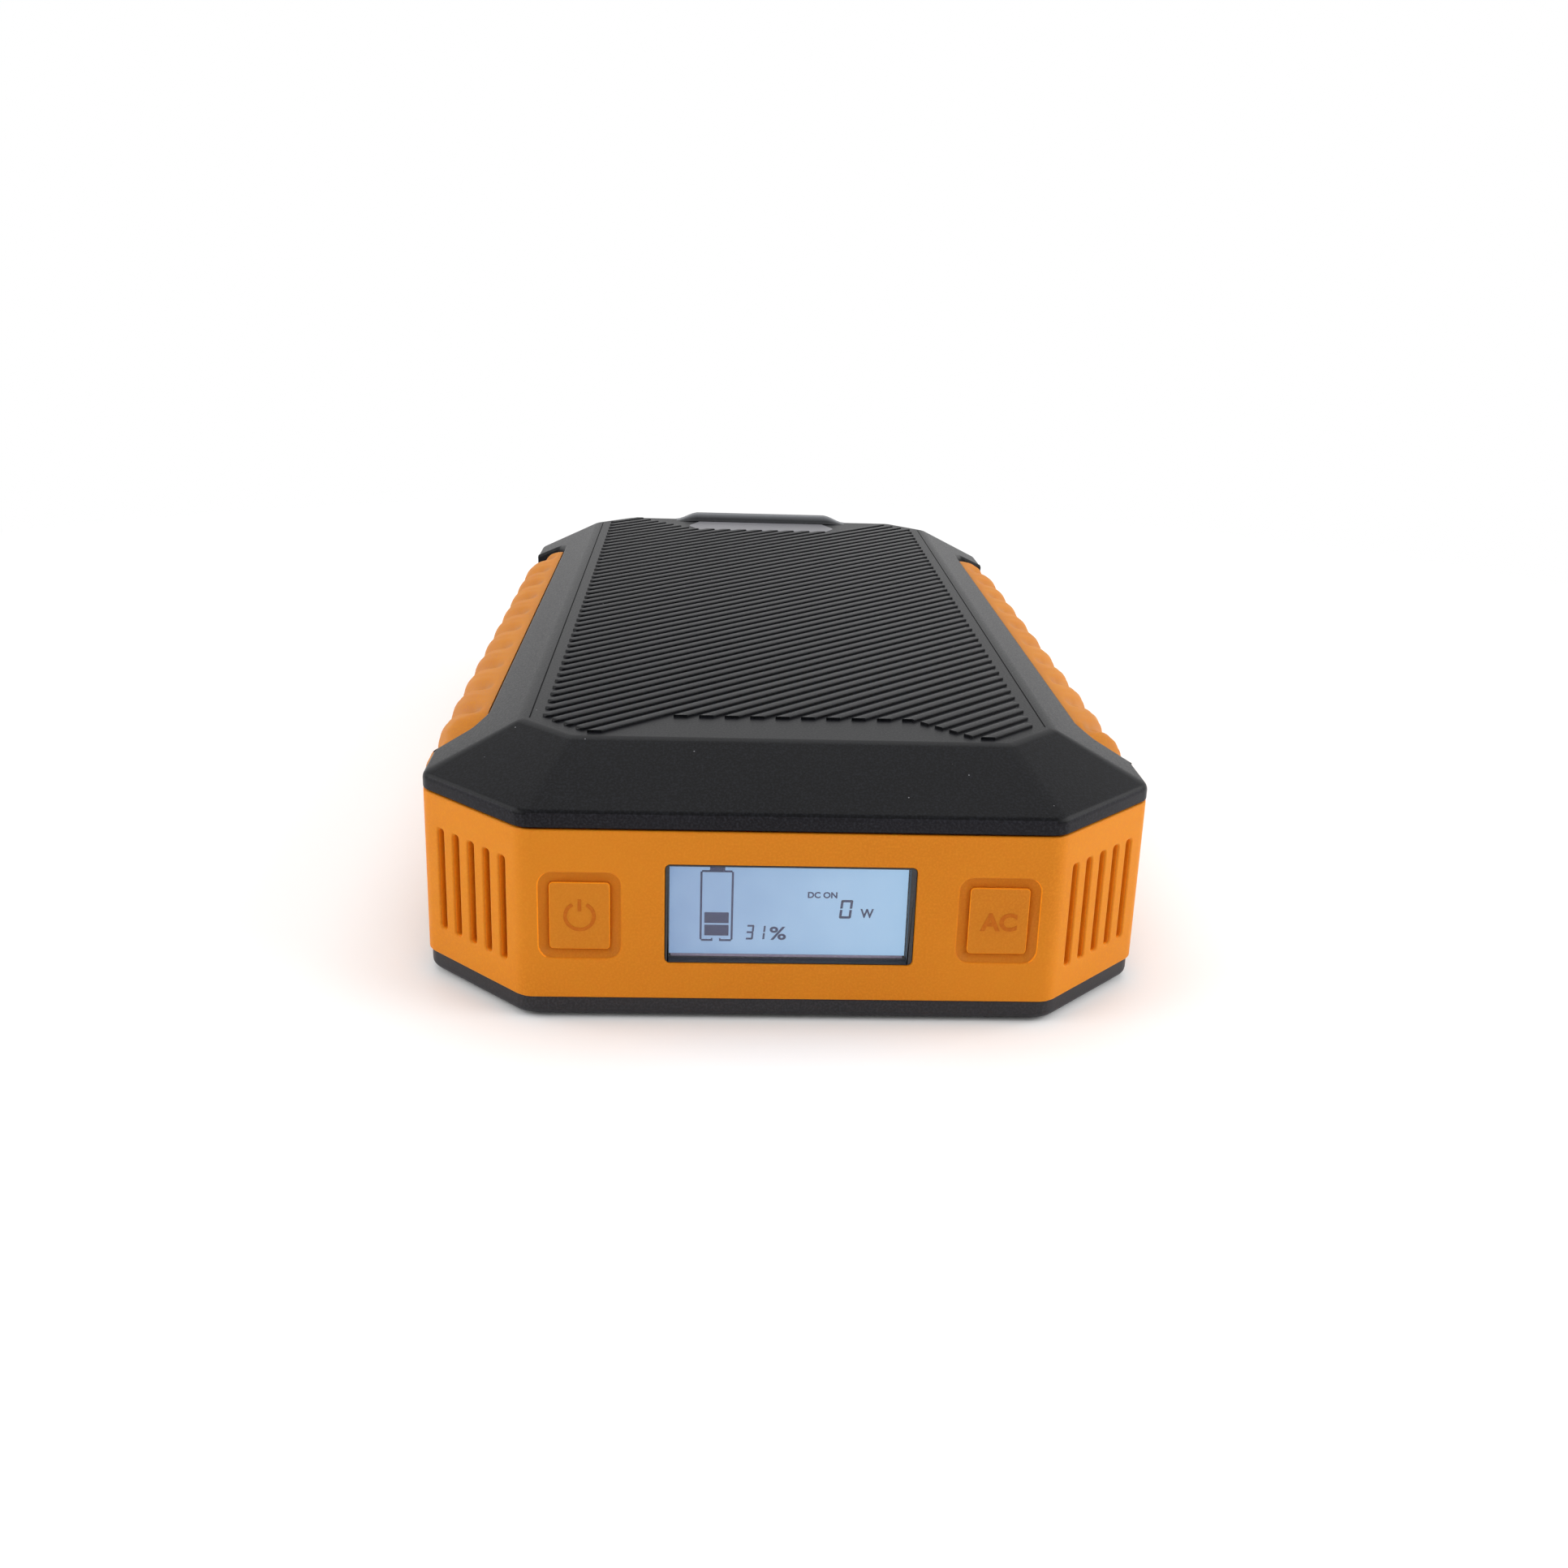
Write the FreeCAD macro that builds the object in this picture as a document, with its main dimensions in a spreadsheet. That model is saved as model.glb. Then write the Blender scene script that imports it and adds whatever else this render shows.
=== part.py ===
"""Slim power station: parametric FreeCAD document, one object for each physical piece.

Frame: millimetres, +Z up, origin on the resting surface below the middle of the case.
The front, with the display and the two buttons, faces -Y, and the outlets face +Y.
The case is sized from the inside out: cells, fan and bays set the width, length and height.
"""
import FreeCAD, Part
import math
import os
import re
import Sketcher

doc = FreeCAD.newDocument("power_station")
Vector = FreeCAD.Vector

# ---------------------------------------------------------------------------
# Sizes: driving values in millimetres, then the values worked out from them
# ---------------------------------------------------------------------------

SIZES = {
    # battery pack: cells lie across the case in two layers
    "cell_diameter": 18.3,
    "cell_length": 65.0,
    "cell_spacing": 0.5,
    "pack_columns": 8,
    "holder_rim": 0.4,
    "holder_end": 1.5,
    "holder_depth": 8.0,
    "strip_thickness": 0.2,
    "card_thickness": 0.4,
    "foam_thickness": 0.9,
    # case walls
    "foot_stand": 0.6,
    "floor_thickness": 2.3,
    "lid_thickness": 2.4,
    "frame_wall": 2.0,
    "skin_thickness": 2.6,
    "skin_gap": 0.1,
    "fit_gap": 0.15,
    # outline of the case
    "corner_cut": 18.5,
    "shoulder_step": 8.45,
    "shoulder_length": 31.4,
    "notch_flare_x": 2.2,
    "notch_flare_y": 3.2,
    "waist_blend": 5.5,
    "base_height": 4.0,
    "base_inset": 0.4,
    "base_round": 1.2,
    "panel_round": 5.0,
    "rim_height": 2.6,
    "rim_gap": 0.3,
    "rim_seat": 1.0,
    "bevel_drop": 8.4,
    "bevel_run_side": 16.3,
    "bevel_run_end": 14.2,
    "top_cut": 9.2,
    "front_bay": 31.0,
    "rear_bay": 46.2,
    # ribs and hood on the lid
    "rib_pitch": 4.43,
    "rib_width": 1.9,
    "rib_phase": 1.7,
    "rib_height": 0.7,
    "rib_side_margin": 2.8,
    "rib_end_margin": 2.4,
    "bare_strip": 12.2,
    "bare_half": 21.5,
    "scoop_half": 18.6,
    "hood_height": 2.0,
    "hood_top_half": 18.0,
    "hood_base_half": 24.5,
    "hood_start": 19.8,
    # grips
    "grip_bulge": 12.8,
    "grip_gap": 0.3,
    "grip_top": 6.2,
    "grip_low": 1.6,
    "grip_rise": 1.5,
    "strand_pitch": 16.5,
    "strand_groove": 1.1,
    "strand_slant": 1.1,
    # vents in the four corners
    "vent_count": 5,
    "vent_pitch": 4.13,
    "vent_width": 1.8,
    "vent_low": 9.4,
    "vent_high": 27.8,
    # display
    "window_width": 41.2,
    "window_height": 17.2,
    "window_level": 19.3,
    "bezel_depth": 1.5,
    "bezel_width": 0.8,
    "lens_thickness": 0.7,
    "glass_width": 44.4,
    "glass_height": 20.4,
    "glass_thickness": 2.0,
    "backlight_thickness": 5.2,
    # buttons
    "button_centre": 34.45,
    "button_level": 18.75,
    "button_width": 9.9,
    "button_height": 11.75,
    "button_lip": 0.6,
    "button_travel": 0.6,
    "groove_width": 13.4,
    "groove_height": 15.2,
    "groove_depth": 1.0,
    "membrane_gap": 0.12,
    "flange_thickness": 1.1,
    "stem_radius": 2.0,
    "switch_side": 6.0,
    "switch_depth": 3.5,
    "plunger_radius": 1.7,
    "plunger_rise": 1.5,
    "plunger_sink": 1.0,
    "running_gap": 0.05,
    # circuit boards
    "board_thickness": 1.6,
    "board_standoff": 4.0,
    "control_half": 44.0,
    "control_low": 6.0,
    "control_high": 31.5,
    "boss_radius": 2.2,
    "boss_offset_x": 4.5,
    "boss_offset_z": 2.6,
    "pilot_radius": 1.03,
    "board_screw_radius": 1.0,
    "board_screw_length": 5.0,
    "board_head_radius": 1.9,
    "board_head_height": 1.2,
    "bms_length": 76.0,
    "bms_height": 26.0,
    "bms_chip": 1.2,
    # lane beside the pack: fan and inverter
    "pack_gap": 0.8,
    "fan_side": 30.0,
    "fan_margin": 1.2,
    "fan_depth": 10.0,
    "duct_radius": 14.0,
    "hub_radius": 6.2,
    "blade_reach": 13.3,
    "blade_count": 7,
    "shaft_radius": 0.8,
    "bearing_radius": 2.2,
    "core_height": 20.0,
    "core_length": 24.0,
    "core_leg": 4.0,
    "sink_length": 46.0,
    "sink_height": 22.0,
    "sink_plate": 3.0,
    "fin_count": 9,
    "fin_thickness": 1.4,
    "capacitor_radius": 6.3,
    "capacitor_height": 24.0,
    "choke_ring": 6.0,
    "choke_section": 2.9,
    # outlets at the rear
    "outlet_width": 33.4,
    "outlet_height": 25.6,
    "outlet_level": 18.9,
    "outlet_depth": 27.0,
    "outlet_flange": 2.2,
    "outlet_lip": 2.0,
    "blade_slot_spacing": 12.7,
    "blade_slot_width": 1.8,
    "blade_slot_height": 7.2,
    "earth_drop": 11.0,
    "earth_radius": 2.5,
    "slot_depth": 17.0,
    "terminal_width": 6.3,
    "terminal_thickness": 0.8,
    "terminal_length": 9.0,
    "plate_centre": 31.8,
    "plate_width": 20.0,
    "plate_height": 24.6,
    "port_depth": 16.0,
    "usb_a_width": 13.1,
    "usb_a_height": 5.7,
    "usb_a_upper": 26.4,
    "usb_a_lower": 18.4,
    "usb_c_width": 8.9,
    "usb_c_height": 3.2,
    "usb_c_level": 10.8,
    "shell_wall": 0.3,
    "jack_radius": 4.6,
    "jack_bore": 3.0,
    "jack_pin": 1.0,
    "jack_upper": 24.9,
    "jack_lower": 12.9,
    # fasteners, feet and leads
    "case_screw_x": 11.5,
    "case_screw_room": 2.2,
    "case_screw_radius": 1.3,
    "case_screw_length": 13.0,
    "case_head_radius": 2.2,
    "case_head_height": 1.3,
    "case_boss_radius": 3.2,
    "case_boss_height": 3.0,
    "foot_radius": 5.0,
    "foot_recess": 1.2,
    "foot_x": 18.5,
    "foot_y": 34.0,
    "lead_radius": 1.2,
    "fan_lead_radius": 0.6,
    "ribbon_width": 9.0,
    "ribbon_thickness": 0.8,
}

WORKED_OUT = {
    "cell_pitch": "cell_diameter + cell_spacing",
    "pack_height": "cell_diameter + cell_pitch + 2 * holder_rim",
    "pack_length": "pack_columns * cell_pitch + 2 * holder_end",
    "pack_width": "cell_length + 2 * strip_thickness + 2 * card_thickness",
    "lane_width": "fan_side + 2 * fan_margin",
    "floor_top": "foot_stand + floor_thickness",
    "pack_bottom": "floor_top + foam_thickness",
    "pack_top": "pack_bottom + pack_height",
    "roof_low": "pack_top + foam_thickness",
    "case_top": "roof_low + lid_thickness",
    "rim_top": "case_top - bevel_drop",
    "rim_bottom": "rim_top - rim_height",
    "panel_top": "rim_bottom - rim_gap",
    "side_slope": "bevel_drop / bevel_run_side",
    "corner_room": "(2 * foam_thickness / 3) / side_slope",
    "half_width": "(bevel_run_side - corner_room + pack_width + pack_gap + lane_width"
    " + shoulder_step + frame_wall) / 2",
    "waist_half": "half_width - shoulder_step",
    "top_half": "half_width - bevel_run_side",
    "wall_depth": "skin_thickness + skin_gap + frame_wall",
    "half_length": "(front_bay + pack_length + rear_bay) / 2 + wall_depth",
    "notch_half": "half_length - shoulder_length",
    "top_length": "half_length - bevel_run_end",
    "pack_left": "-top_half - corner_room",
    "pack_right": "pack_left + pack_width",
    "pack_front": "-half_length + wall_depth + front_bay",
    "pack_back": "pack_front + pack_length",
    "lane_left": "pack_right + pack_gap",
    "lane_middle": "lane_left + lane_width / 2",
    "bay_front": "-half_length + wall_depth",
    "bay_back": "half_length - wall_depth",
    "glass_front": "-half_length + skin_thickness + skin_gap",
    "control_front": "glass_front + glass_thickness + backlight_thickness",
    "control_back": "control_front + board_thickness",
    "flange_back": "-half_length + skin_thickness + flange_thickness",
    "switch_front": "control_front - switch_depth",
    "plunger_front": "switch_front - plunger_rise",
    "port_front": "half_length - port_depth",
    "port_screw_reach": "plate_width / 2 + boss_radius + 1",
    "inverter_low": "floor_top + board_standoff",
    "inverter_high": "inverter_low + board_thickness",
    "inverter_front": "pack_front + fan_depth + 6",
    "fan_level": "floor_top + fan_side / 2",
    "outlet_back": "half_length - outlet_depth",
    "corner_face": "half_width + half_length - corner_cut - (skin_thickness + skin_gap) * sqrt(2)",
    "screw_x": "half_width - case_screw_x",
    "screw_y": "notch_half + frame_wall + case_boss_radius + case_screw_room",
}

sheet = doc.addObject("Spreadsheet::Sheet", "sizes")
for row, (alias, number) in enumerate(SIZES.items(), start=1):
    sheet.set(f"A{row}", alias)
    sheet.set(f"B{row}", str(number))
    sheet.setAlias(f"B{row}", alias)
for row, (alias, formula) in enumerate(WORKED_OUT.items(), start=1):
    sheet.set(f"D{row}", alias)
    sheet.set(f"E{row}", "=" + formula)
    sheet.setAlias(f"E{row}", alias)
doc.recompute()

ALIAS = re.compile(r"\b(" + "|".join([*SIZES, *WORKED_OUT]) + r")\b")


def value(text):
    """The number that a formula of sheet aliases gives."""
    return float(sheet.evalExpression(str(text)))


def bind(thing, path, text):
    """Tie a property to a formula of sheet aliases."""
    thing.setExpression(path, ALIAS.sub(r"sizes.\1", str(text)))


# ---------------------------------------------------------------------------
# Sketches: closed polygons and circles whose every coordinate follows the sheet
# ---------------------------------------------------------------------------


def pinned(kind, line, point, text):
    """A constraint that holds one coordinate of a point at a formula's value."""
    number = value(text)
    if abs(number) < 1e-9:
        axis = -2 if kind == "DistanceX" else -1
        return Sketcher.Constraint("PointOnObject", line, point, axis), None
    if number > 0:
        return Sketcher.Constraint(kind, -1, 1, line, point, number), text
    return Sketcher.Constraint(kind, line, point, -1, 1, -number), f"-({text})"


def draw(sketch, polygons=(), circles=()):
    """Add closed polygons (pairs of formulas) and circles (centre and radius formulas)."""
    shapes, holds = [], []
    for corners in polygons:
        first, count = len(shapes), len(corners)
        spots = [Vector(value(u), value(v), 0) for u, v in corners]
        for index, (u, v) in enumerate(corners):
            shapes.append(Part.LineSegment(spots[index], spots[(index + 1) % count]))
            after = first + (index + 1) % count
            holds.append((Sketcher.Constraint("Coincident", first + index, 2, after, 1), None))
            holds.append(pinned("DistanceX", first + index, 1, u))
            holds.append(pinned("DistanceY", first + index, 1, v))
    for u, v, radius in circles:
        line = len(shapes)
        centre = Vector(value(u), value(v), 0)
        shapes.append(Part.Circle(centre, Vector(0, 0, 1), value(radius)))
        holds.append((Sketcher.Constraint("Radius", line, value(radius)), radius))
        holds.append(pinned("DistanceX", line, 3, u))
        holds.append(pinned("DistanceY", line, 3, v))
    sketch.addGeometry(shapes, False)
    sketch.addConstraint([hold for hold, _ in holds])
    for index, (_, text) in enumerate(holds):
        if text is not None:
            bind(sketch, f"Constraints[{index}]", text)


def rectangle(centre_u, centre_v, width, height):
    """Corners of an upright rectangle about a centre."""
    left, right = f"({centre_u}) - ({width}) / 2", f"({centre_u}) + ({width}) / 2"
    low, high = f"({centre_v}) - ({height}) / 2", f"({centre_v}) + ({height}) / 2"
    return [(left, low), (right, low), (right, high), (left, high)]


def span(left, right, low, high):
    """Corners of an upright rectangle between four sides."""
    return [(left, low), (right, low), (right, high), (left, high)]


# ---------------------------------------------------------------------------
# PartDesign bodies: pads and pockets between two levels along an axis
# ---------------------------------------------------------------------------

PLANE_OF = {"Z": "XY_Plane", "Y": "XZ_Plane", "X": "YZ_Plane"}
TURN_OF = {
    "Z": FreeCAD.Rotation(),
    "Y": FreeCAD.Rotation(Vector(1, 0, 0), 90),
    "X": FreeCAD.Rotation(Vector(1, 1, 1), 120),
}


def new_body(label):
    """A PartDesign body that carries one node's name."""
    body = doc.addObject("PartDesign::Body", label)
    body.Label = label
    return body


def body_sketch(body, axis, level):
    """A sketch square to an axis of the body, at a level along that axis."""
    sketch = body.newObject("Sketcher::SketchObject", f"{body.Label}_sketch")
    origin = body.Origin.OriginFeatures
    plane = next(item for item in origin if item.Role == PLANE_OF[axis])
    sketch.AttachmentSupport = [(plane, "")]
    sketch.MapMode = "FlatFace"
    bind(sketch, "AttachmentOffset.Base.z", f"-({level})" if axis == "Y" else level)
    return sketch


def feature(body, kind, axis, low, high, polygons, circles):
    """A pad or a pocket from low to high along an axis."""
    forward = (kind == "Pad") != (axis == "Y")
    sketch = body_sketch(body, axis, low if forward else high)
    draw(sketch, polygons, circles)
    made = body.newObject(f"PartDesign::{kind}", f"{body.Label}_{kind.lower()}")
    made.Profile = sketch
    bind(made, "Length", f"({high}) - ({low})")
    return made


def pad(body, axis, low, high, polygons=(), circles=()):
    """Add material from low to high along an axis."""
    return feature(body, "Pad", axis, low, high, polygons, circles)


def pocket(body, axis, low, high, polygons=(), circles=()):
    """Remove material from low to high along an axis."""
    return feature(body, "Pocket", axis, low, high, polygons, circles)


def round_edges(body, radius, chosen):
    """Fillet the edges of the body's last feature that a test picks."""
    doc.recompute()
    tip = body.Tip
    names = [f"Edge{n}" for n, edge in enumerate(tip.Shape.Edges, start=1) if chosen(edge)]
    fillet = body.newObject("PartDesign::Fillet", f"{body.Label}_fillet")
    fillet.Base = (tip, names)
    bind(fillet, "Radius", radius)
    return fillet


def runs_along(edge, axis):
    """Whether an edge is straight and parallel to an axis."""
    if edge.Curve.TypeId != "Part::GeomLine":
        return False
    direction = edge.tangentAt(edge.FirstParameter)
    return abs(abs(direction.dot(axis)) - 1) < 1e-6


# ---------------------------------------------------------------------------
# Part primitives and booleans
# ---------------------------------------------------------------------------


def box(name, low, high):
    """A Part::Box between two corners given as triples of formulas."""
    made = doc.addObject("Part::Box", name)
    for side, axis, start, end in zip(("Length", "Width", "Height"), "xyz", low, high):
        bind(made, side, f"({end}) - ({start})")
        bind(made, f"Placement.Base.{axis}", start)
    return made


def rod(name, axis, base, radius, length):
    """A Part::Cylinder from a base point along an axis."""
    made = doc.addObject("Part::Cylinder", name)
    turns = {
        "X": FreeCAD.Rotation(Vector(0, 1, 0), 90),
        "Y": FreeCAD.Rotation(Vector(1, 0, 0), -90),
        "Z": FreeCAD.Rotation(),
    }
    made.Placement.Rotation = turns[axis]
    bind(made, "Radius", radius)
    bind(made, "Height", length)
    for letter, text in zip("xyz", base):
        bind(made, f"Placement.Base.{letter}", text)
    return made


def loose_sketch(name, axis, level, polygons=()):
    """A sketch outside any body, square to an axis at a level."""
    sketch = doc.addObject("Sketcher::SketchObject", name)
    sketch.Placement.Rotation = TURN_OF[axis]
    bind(sketch, f"Placement.Base.{axis.lower()}", level)
    draw(sketch, polygons)
    return sketch


def prism(name, axis, low, high, polygons):
    """Extruded polygons from low to high along an axis."""
    start = high if axis == "Y" else low
    sketch = loose_sketch(f"{name}_sketch", axis, start, polygons)
    made = doc.addObject("Part::Extrusion", name)
    made.Base = sketch
    made.DirMode = "Normal"
    made.Solid = True
    bind(made, "LengthFwd", f"({high}) - ({low})")
    return made


def loft(name, axis, sections):
    """A ruled solid through polygons at rising levels along an axis."""
    made = doc.addObject("Part::Loft", name)
    made.Sections = [
        loose_sketch(f"{name}_sketch", axis, level, [corners]) for level, corners in sections
    ]
    made.Solid = True
    made.Ruled = True
    return made


def joined(name, pieces):
    """Fuse several objects into one solid."""
    made = doc.addObject("Part::MultiFuse", name)
    made.Shapes = list(pieces)
    made.Refine = True
    return made


def shared(name, pieces):
    """Keep what several objects have in common."""
    made = doc.addObject("Part::MultiCommon", name)
    made.Shapes = list(pieces)
    return made


def cut(name, base, tool):
    """Remove one object from another."""
    made = doc.addObject("Part::Cut", name)
    made.Base = base
    made.Tool = tool
    return made


def group(name, pieces):
    """Several separate solids kept as one node."""
    made = doc.addObject("Part::Compound", name)
    made.Links = list(pieces)
    return made


# ---------------------------------------------------------------------------
# Outlines that several pieces share
# ---------------------------------------------------------------------------

# A 45 degree corner cut shrinks by this share of an inset of the whole outline.
CUT_SHRINK = 2 - math.sqrt(2)


def octagon(inset="0", width="half_width", length="half_length", corner="corner_cut"):
    """Eight corners of the case outline, moved in by an inset."""
    wide = f"({width} - ({inset}))"
    deep = f"({length} - ({inset}))"
    cut_in = f"({corner} - ({inset}) * {CUT_SHRINK:.6f})"
    quarter = [(f"({wide} - {cut_in})", deep), (wide, f"({deep} - {cut_in})")]
    right = [(u, f"-{v}") for u, v in quarter] + list(reversed(quarter))
    left = [(f"-{u}", v) for u, v in reversed(right)]
    return right + left


def dogbone(inset, waist_inset, step_inset):
    """The case outline drawn in at the waist, where the grips sit."""
    outline = octagon(inset)
    wide = f"(half_width - ({inset}))"
    narrow = f"(waist_half - ({waist_inset}))"
    step = f"(notch_half + ({step_inset}))"
    waist = [(wide, f"-{step}"), (narrow, f"-{step}"), (narrow, step), (wide, step)]
    mirrored = [(f"-{u}", v) for u, v in reversed(waist)]
    return outline[:2] + waist + outline[2:6] + mirrored + outline[6:]


def notch(side, shrink="0"):
    """Plan of the lid's side cut, flared at both ends; a grip's top is a shrunk copy."""
    beyond = "half_width + shoulder_step"
    waist = f"waist_half + ({shrink})"
    flare = f"waist_half + notch_flare_x + ({shrink})"
    start = f"notch_half - ({shrink})"
    corner = f"notch_half - notch_flare_y - ({shrink})"
    blend = f"notch_half - notch_flare_y - waist_blend - ({shrink})"
    half = [(beyond, start), ("half_width", start), (flare, corner), (waist, blend)]
    whole = [(u, f"-({v})") for u, v in half] + list(reversed(half))
    return [(f"{side} * ({u})", v) for u, v in whole]


def end_skin(side):
    """Plan of an end panel: front or rear face, two corner faces and two short returns."""
    outer = octagon()
    inner = octagon("skin_thickness")
    right = [("half_width", "-notch_half")] + list(reversed(outer[0:2]))
    left = list(reversed(outer[6:8])) + [("-half_width", "-notch_half")]
    inner_left = [("-(half_width - skin_thickness)", "-notch_half")] + inner[6:8]
    inner_right = inner[0:2] + [("half_width - skin_thickness", "-notch_half")]
    path = right + left + inner_left + inner_right
    return [(u, f"{side} * -({v})") for u, v in path]


def vent_slots(side, reach="wall_depth + 2"):
    """Plans of the slots through both corner faces at one end of the case."""
    slots = []
    for hand in (-1, 1):
        for number in range(int(value("vent_count"))):
            along = f"((corner_cut / 2) + ({number} - (vent_count - 1) / 2) * vent_pitch / sqrt(2))"
            centre_x = f"(half_width - corner_cut + {along})"
            centre_y = f"(half_length - {along})"
            half = "(vent_width / 2 / sqrt(2))"
            deep = f"(({reach}) / sqrt(2))"
            corners = [
                (f"{centre_x} - {half} + 1", f"{centre_y} + {half} + 1"),
                (f"{centre_x} + {half} + 1", f"{centre_y} - {half} + 1"),
                (f"{centre_x} + {half} - {deep}", f"{centre_y} - {half} - {deep}"),
                (f"{centre_x} - {half} - {deep}", f"{centre_y} + {half} - {deep}"),
            ]
            slots.append([(f"{hand} * ({u})", f"{side} * ({v})") for u, v in corners])
    return slots


FRONT = -1
REAR = 1


# ---------------------------------------------------------------------------
# Case
# ---------------------------------------------------------------------------


def four_corners(x, y):
    """The four mirror images of a point in plan."""
    return [(f"{a} * ({x})", f"{b} * ({y})") for a in (-1, 1) for b in (-1, 1)]


def make_bottom_shell():
    """Black tray: floor, low wall, a seat for the frame, screw and board bosses."""
    body = new_body("bottom_shell")
    pad(body, "Z", "foot_stand", "base_height", [octagon("base_inset")])
    round_edges(body, "base_round", lambda edge: edge.BoundBox.ZMax < value("foot_stand") + 0.01)
    seat = "skin_thickness + skin_gap - fit_gap"
    pocket(body, "Z", "floor_top", "base_height + 1", [dogbone(seat, "-fit_gap", "-fit_gap")])
    screws = four_corners("screw_x", "screw_y")
    boss_top = "floor_top + case_boss_height"
    for x, y in screws:
        pad(body, "Z", "floor_top", boss_top, circles=[(x, y, "case_boss_radius")])
    for x, y in inverter_screws():
        pad(body, "Z", "floor_top", "inverter_low", circles=[(x, y, "boss_radius")])
    pocket(body, "Z", "foot_stand - 1", boss_top,
           circles=[(x, y, "case_screw_radius + running_gap") for x, y in screws])
    sunk = "foot_stand + case_head_height + fit_gap"
    pocket(body, "Z", "foot_stand - 1", sunk,
           circles=[(x, y, "case_head_radius + fit_gap") for x, y in screws])
    pocket(body, "Z", "floor_top + 0.5", "inverter_low",
           circles=[(x, y, "pilot_radius") for x, y in inverter_screws()])
    feet = four_corners("half_width - foot_x", "half_length - foot_y")
    pocket(body, "Z", "foot_stand - 1", "foot_stand + foot_recess",
           circles=[(x, y, "foot_radius + fit_gap") for x, y in feet])
    return body


def board_bosses(centres):
    """Where the screws of an upright board stand: pairs of x and z."""
    return [(x, z) for x in centres for z in ("control_low + boss_offset_z",
                                              "control_high - boss_offset_z")]


def control_screws():
    """Screw places of the control board, as x and z."""
    half = "(control_half - boss_offset_x)"
    return board_bosses([f"-{half}", half])


def port_screws():
    """Screw places of the two port boards, as x and z."""
    place = "(plate_centre + port_screw_reach)"
    return board_bosses([f"-{place}", place])


def inverter_screws():
    """Screw places of the inverter board, as x and y."""
    ends = ("inverter_front + 3.5", "pack_back - 5.5")
    return [(f"lane_middle + {a} * (lane_width / 2 - 5)", y) for a in (-1, 1) for y in ends]


def make_mid_frame():
    """Black ring between tray and lid; it carries the panels, grips and upright boards."""
    body = new_body("mid_frame")
    clad = "skin_thickness + skin_gap"
    pad(body, "Z", "floor_top", "rim_bottom", [dogbone(clad, "0", "0")])
    pocket(body, "Z", "floor_top - 1", "rim_bottom + 1",
           [dogbone("wall_depth", "frame_wall", "frame_wall")])
    for x, z in control_screws():
        pad(body, "Y", "bay_front - 0.5", "control_front", circles=[(x, z, "boss_radius")])
    port_boss_back = "corner_face - (plate_centre + port_screw_reach) - boss_radius - fit_gap"
    for x, z in port_screws():
        pad(body, "Y", "port_front", port_boss_back, circles=[(x, z, "boss_radius")])
    pocket(body, "Y", "control_front - board_screw_length", "control_front",
           circles=[(x, z, "pilot_radius") for x, z in control_screws()])
    pocket(body, "Y", "port_front", "port_front + board_screw_length",
           circles=[(x, z, "pilot_radius") for x, z in port_screws()])
    glass = rectangle("0", "window_level", "glass_width + 2 * fit_gap", "glass_height + 2 * fit_gap")
    flange = "2 * button_lip + 4 * fit_gap"
    buttons = [
        rectangle(f"{hand} * button_centre", "button_level",
                  f"button_width + {flange}", f"button_height + {flange}")
        for hand in (-1, 1)
    ]
    pocket(body, "Y", "-half_length", "bay_front + 0.4", [glass, *buttons])
    outlet = rectangle("0", "outlet_level", "outlet_width + 2 * fit_gap", "outlet_height + 2 * fit_gap")
    ports = [
        rectangle(f"{hand} * plate_centre", "(control_low + control_high) / 2",
                  "plate_width - 2", "plate_height - 2")
        for hand in (-1, 1)
    ]
    pocket(body, "Y", "bay_back - 0.4", "half_length", [outlet, *ports])
    for side in (FRONT, REAR):
        pocket(body, "Z", "vent_low", "vent_high", vent_slots(side))
    return body


def lid_shell():
    """Rim, bevels, hood and screw posts of the lid, hollowed and cut in at the grips."""
    top = octagon("0", "top_half", "top_length", "top_cut")
    rim = prism("lid_rim", "Z", "rim_bottom", "rim_top", [octagon()])
    bevel = loft("lid_bevel", "Z", [("rim_top", octagon()), ("case_top", top)])
    foot = "(floor_top + case_boss_height + fit_gap)"
    legs, posts = [], []
    for number, (x, y) in enumerate(four_corners("screw_x", "screw_y")):
        legs.append(rod(f"lid_leg_{number}", "Z", (x, y, foot), "case_boss_radius",
                        f"rim_bottom + 1 - {foot}"))
        posts.append(rod(f"lid_post_{number}", "Z", (x, y, "rim_bottom - 6"),
                         "case_boss_radius", "case_top - rim_bottom + 6"))
    outside = joined("lid_outside", [rim, bevel, make_hood(), *legs])
    drop = "lid_thickness"
    under_bevel = loft(
        "lid_under_bevel", "Z", [(f"rim_top - {drop}", octagon()), (f"case_top - {drop}", top)]
    )
    under_rim = prism("lid_under_rim", "Z", "rim_bottom - 4", f"rim_top - {drop}", [octagon()])
    under = joined("lid_under", [under_bevel, under_rim])
    inner = dogbone("skin_thickness + skin_gap + rim_seat", "frame_wall", "frame_wall")
    room = prism("lid_room", "Z", "rim_bottom - 3", "case_top", [inner])
    hollow = cut("lid_hollow", shared("lid_space", [under, room]), group("lid_posts", posts))
    sides = prism("lid_notches", "Z", "rim_bottom - 1", "case_top + 1", [notch(-1), notch(1)])
    return cut("lid_shell", outside, joined("lid_removed", [hollow, sides]))


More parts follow.
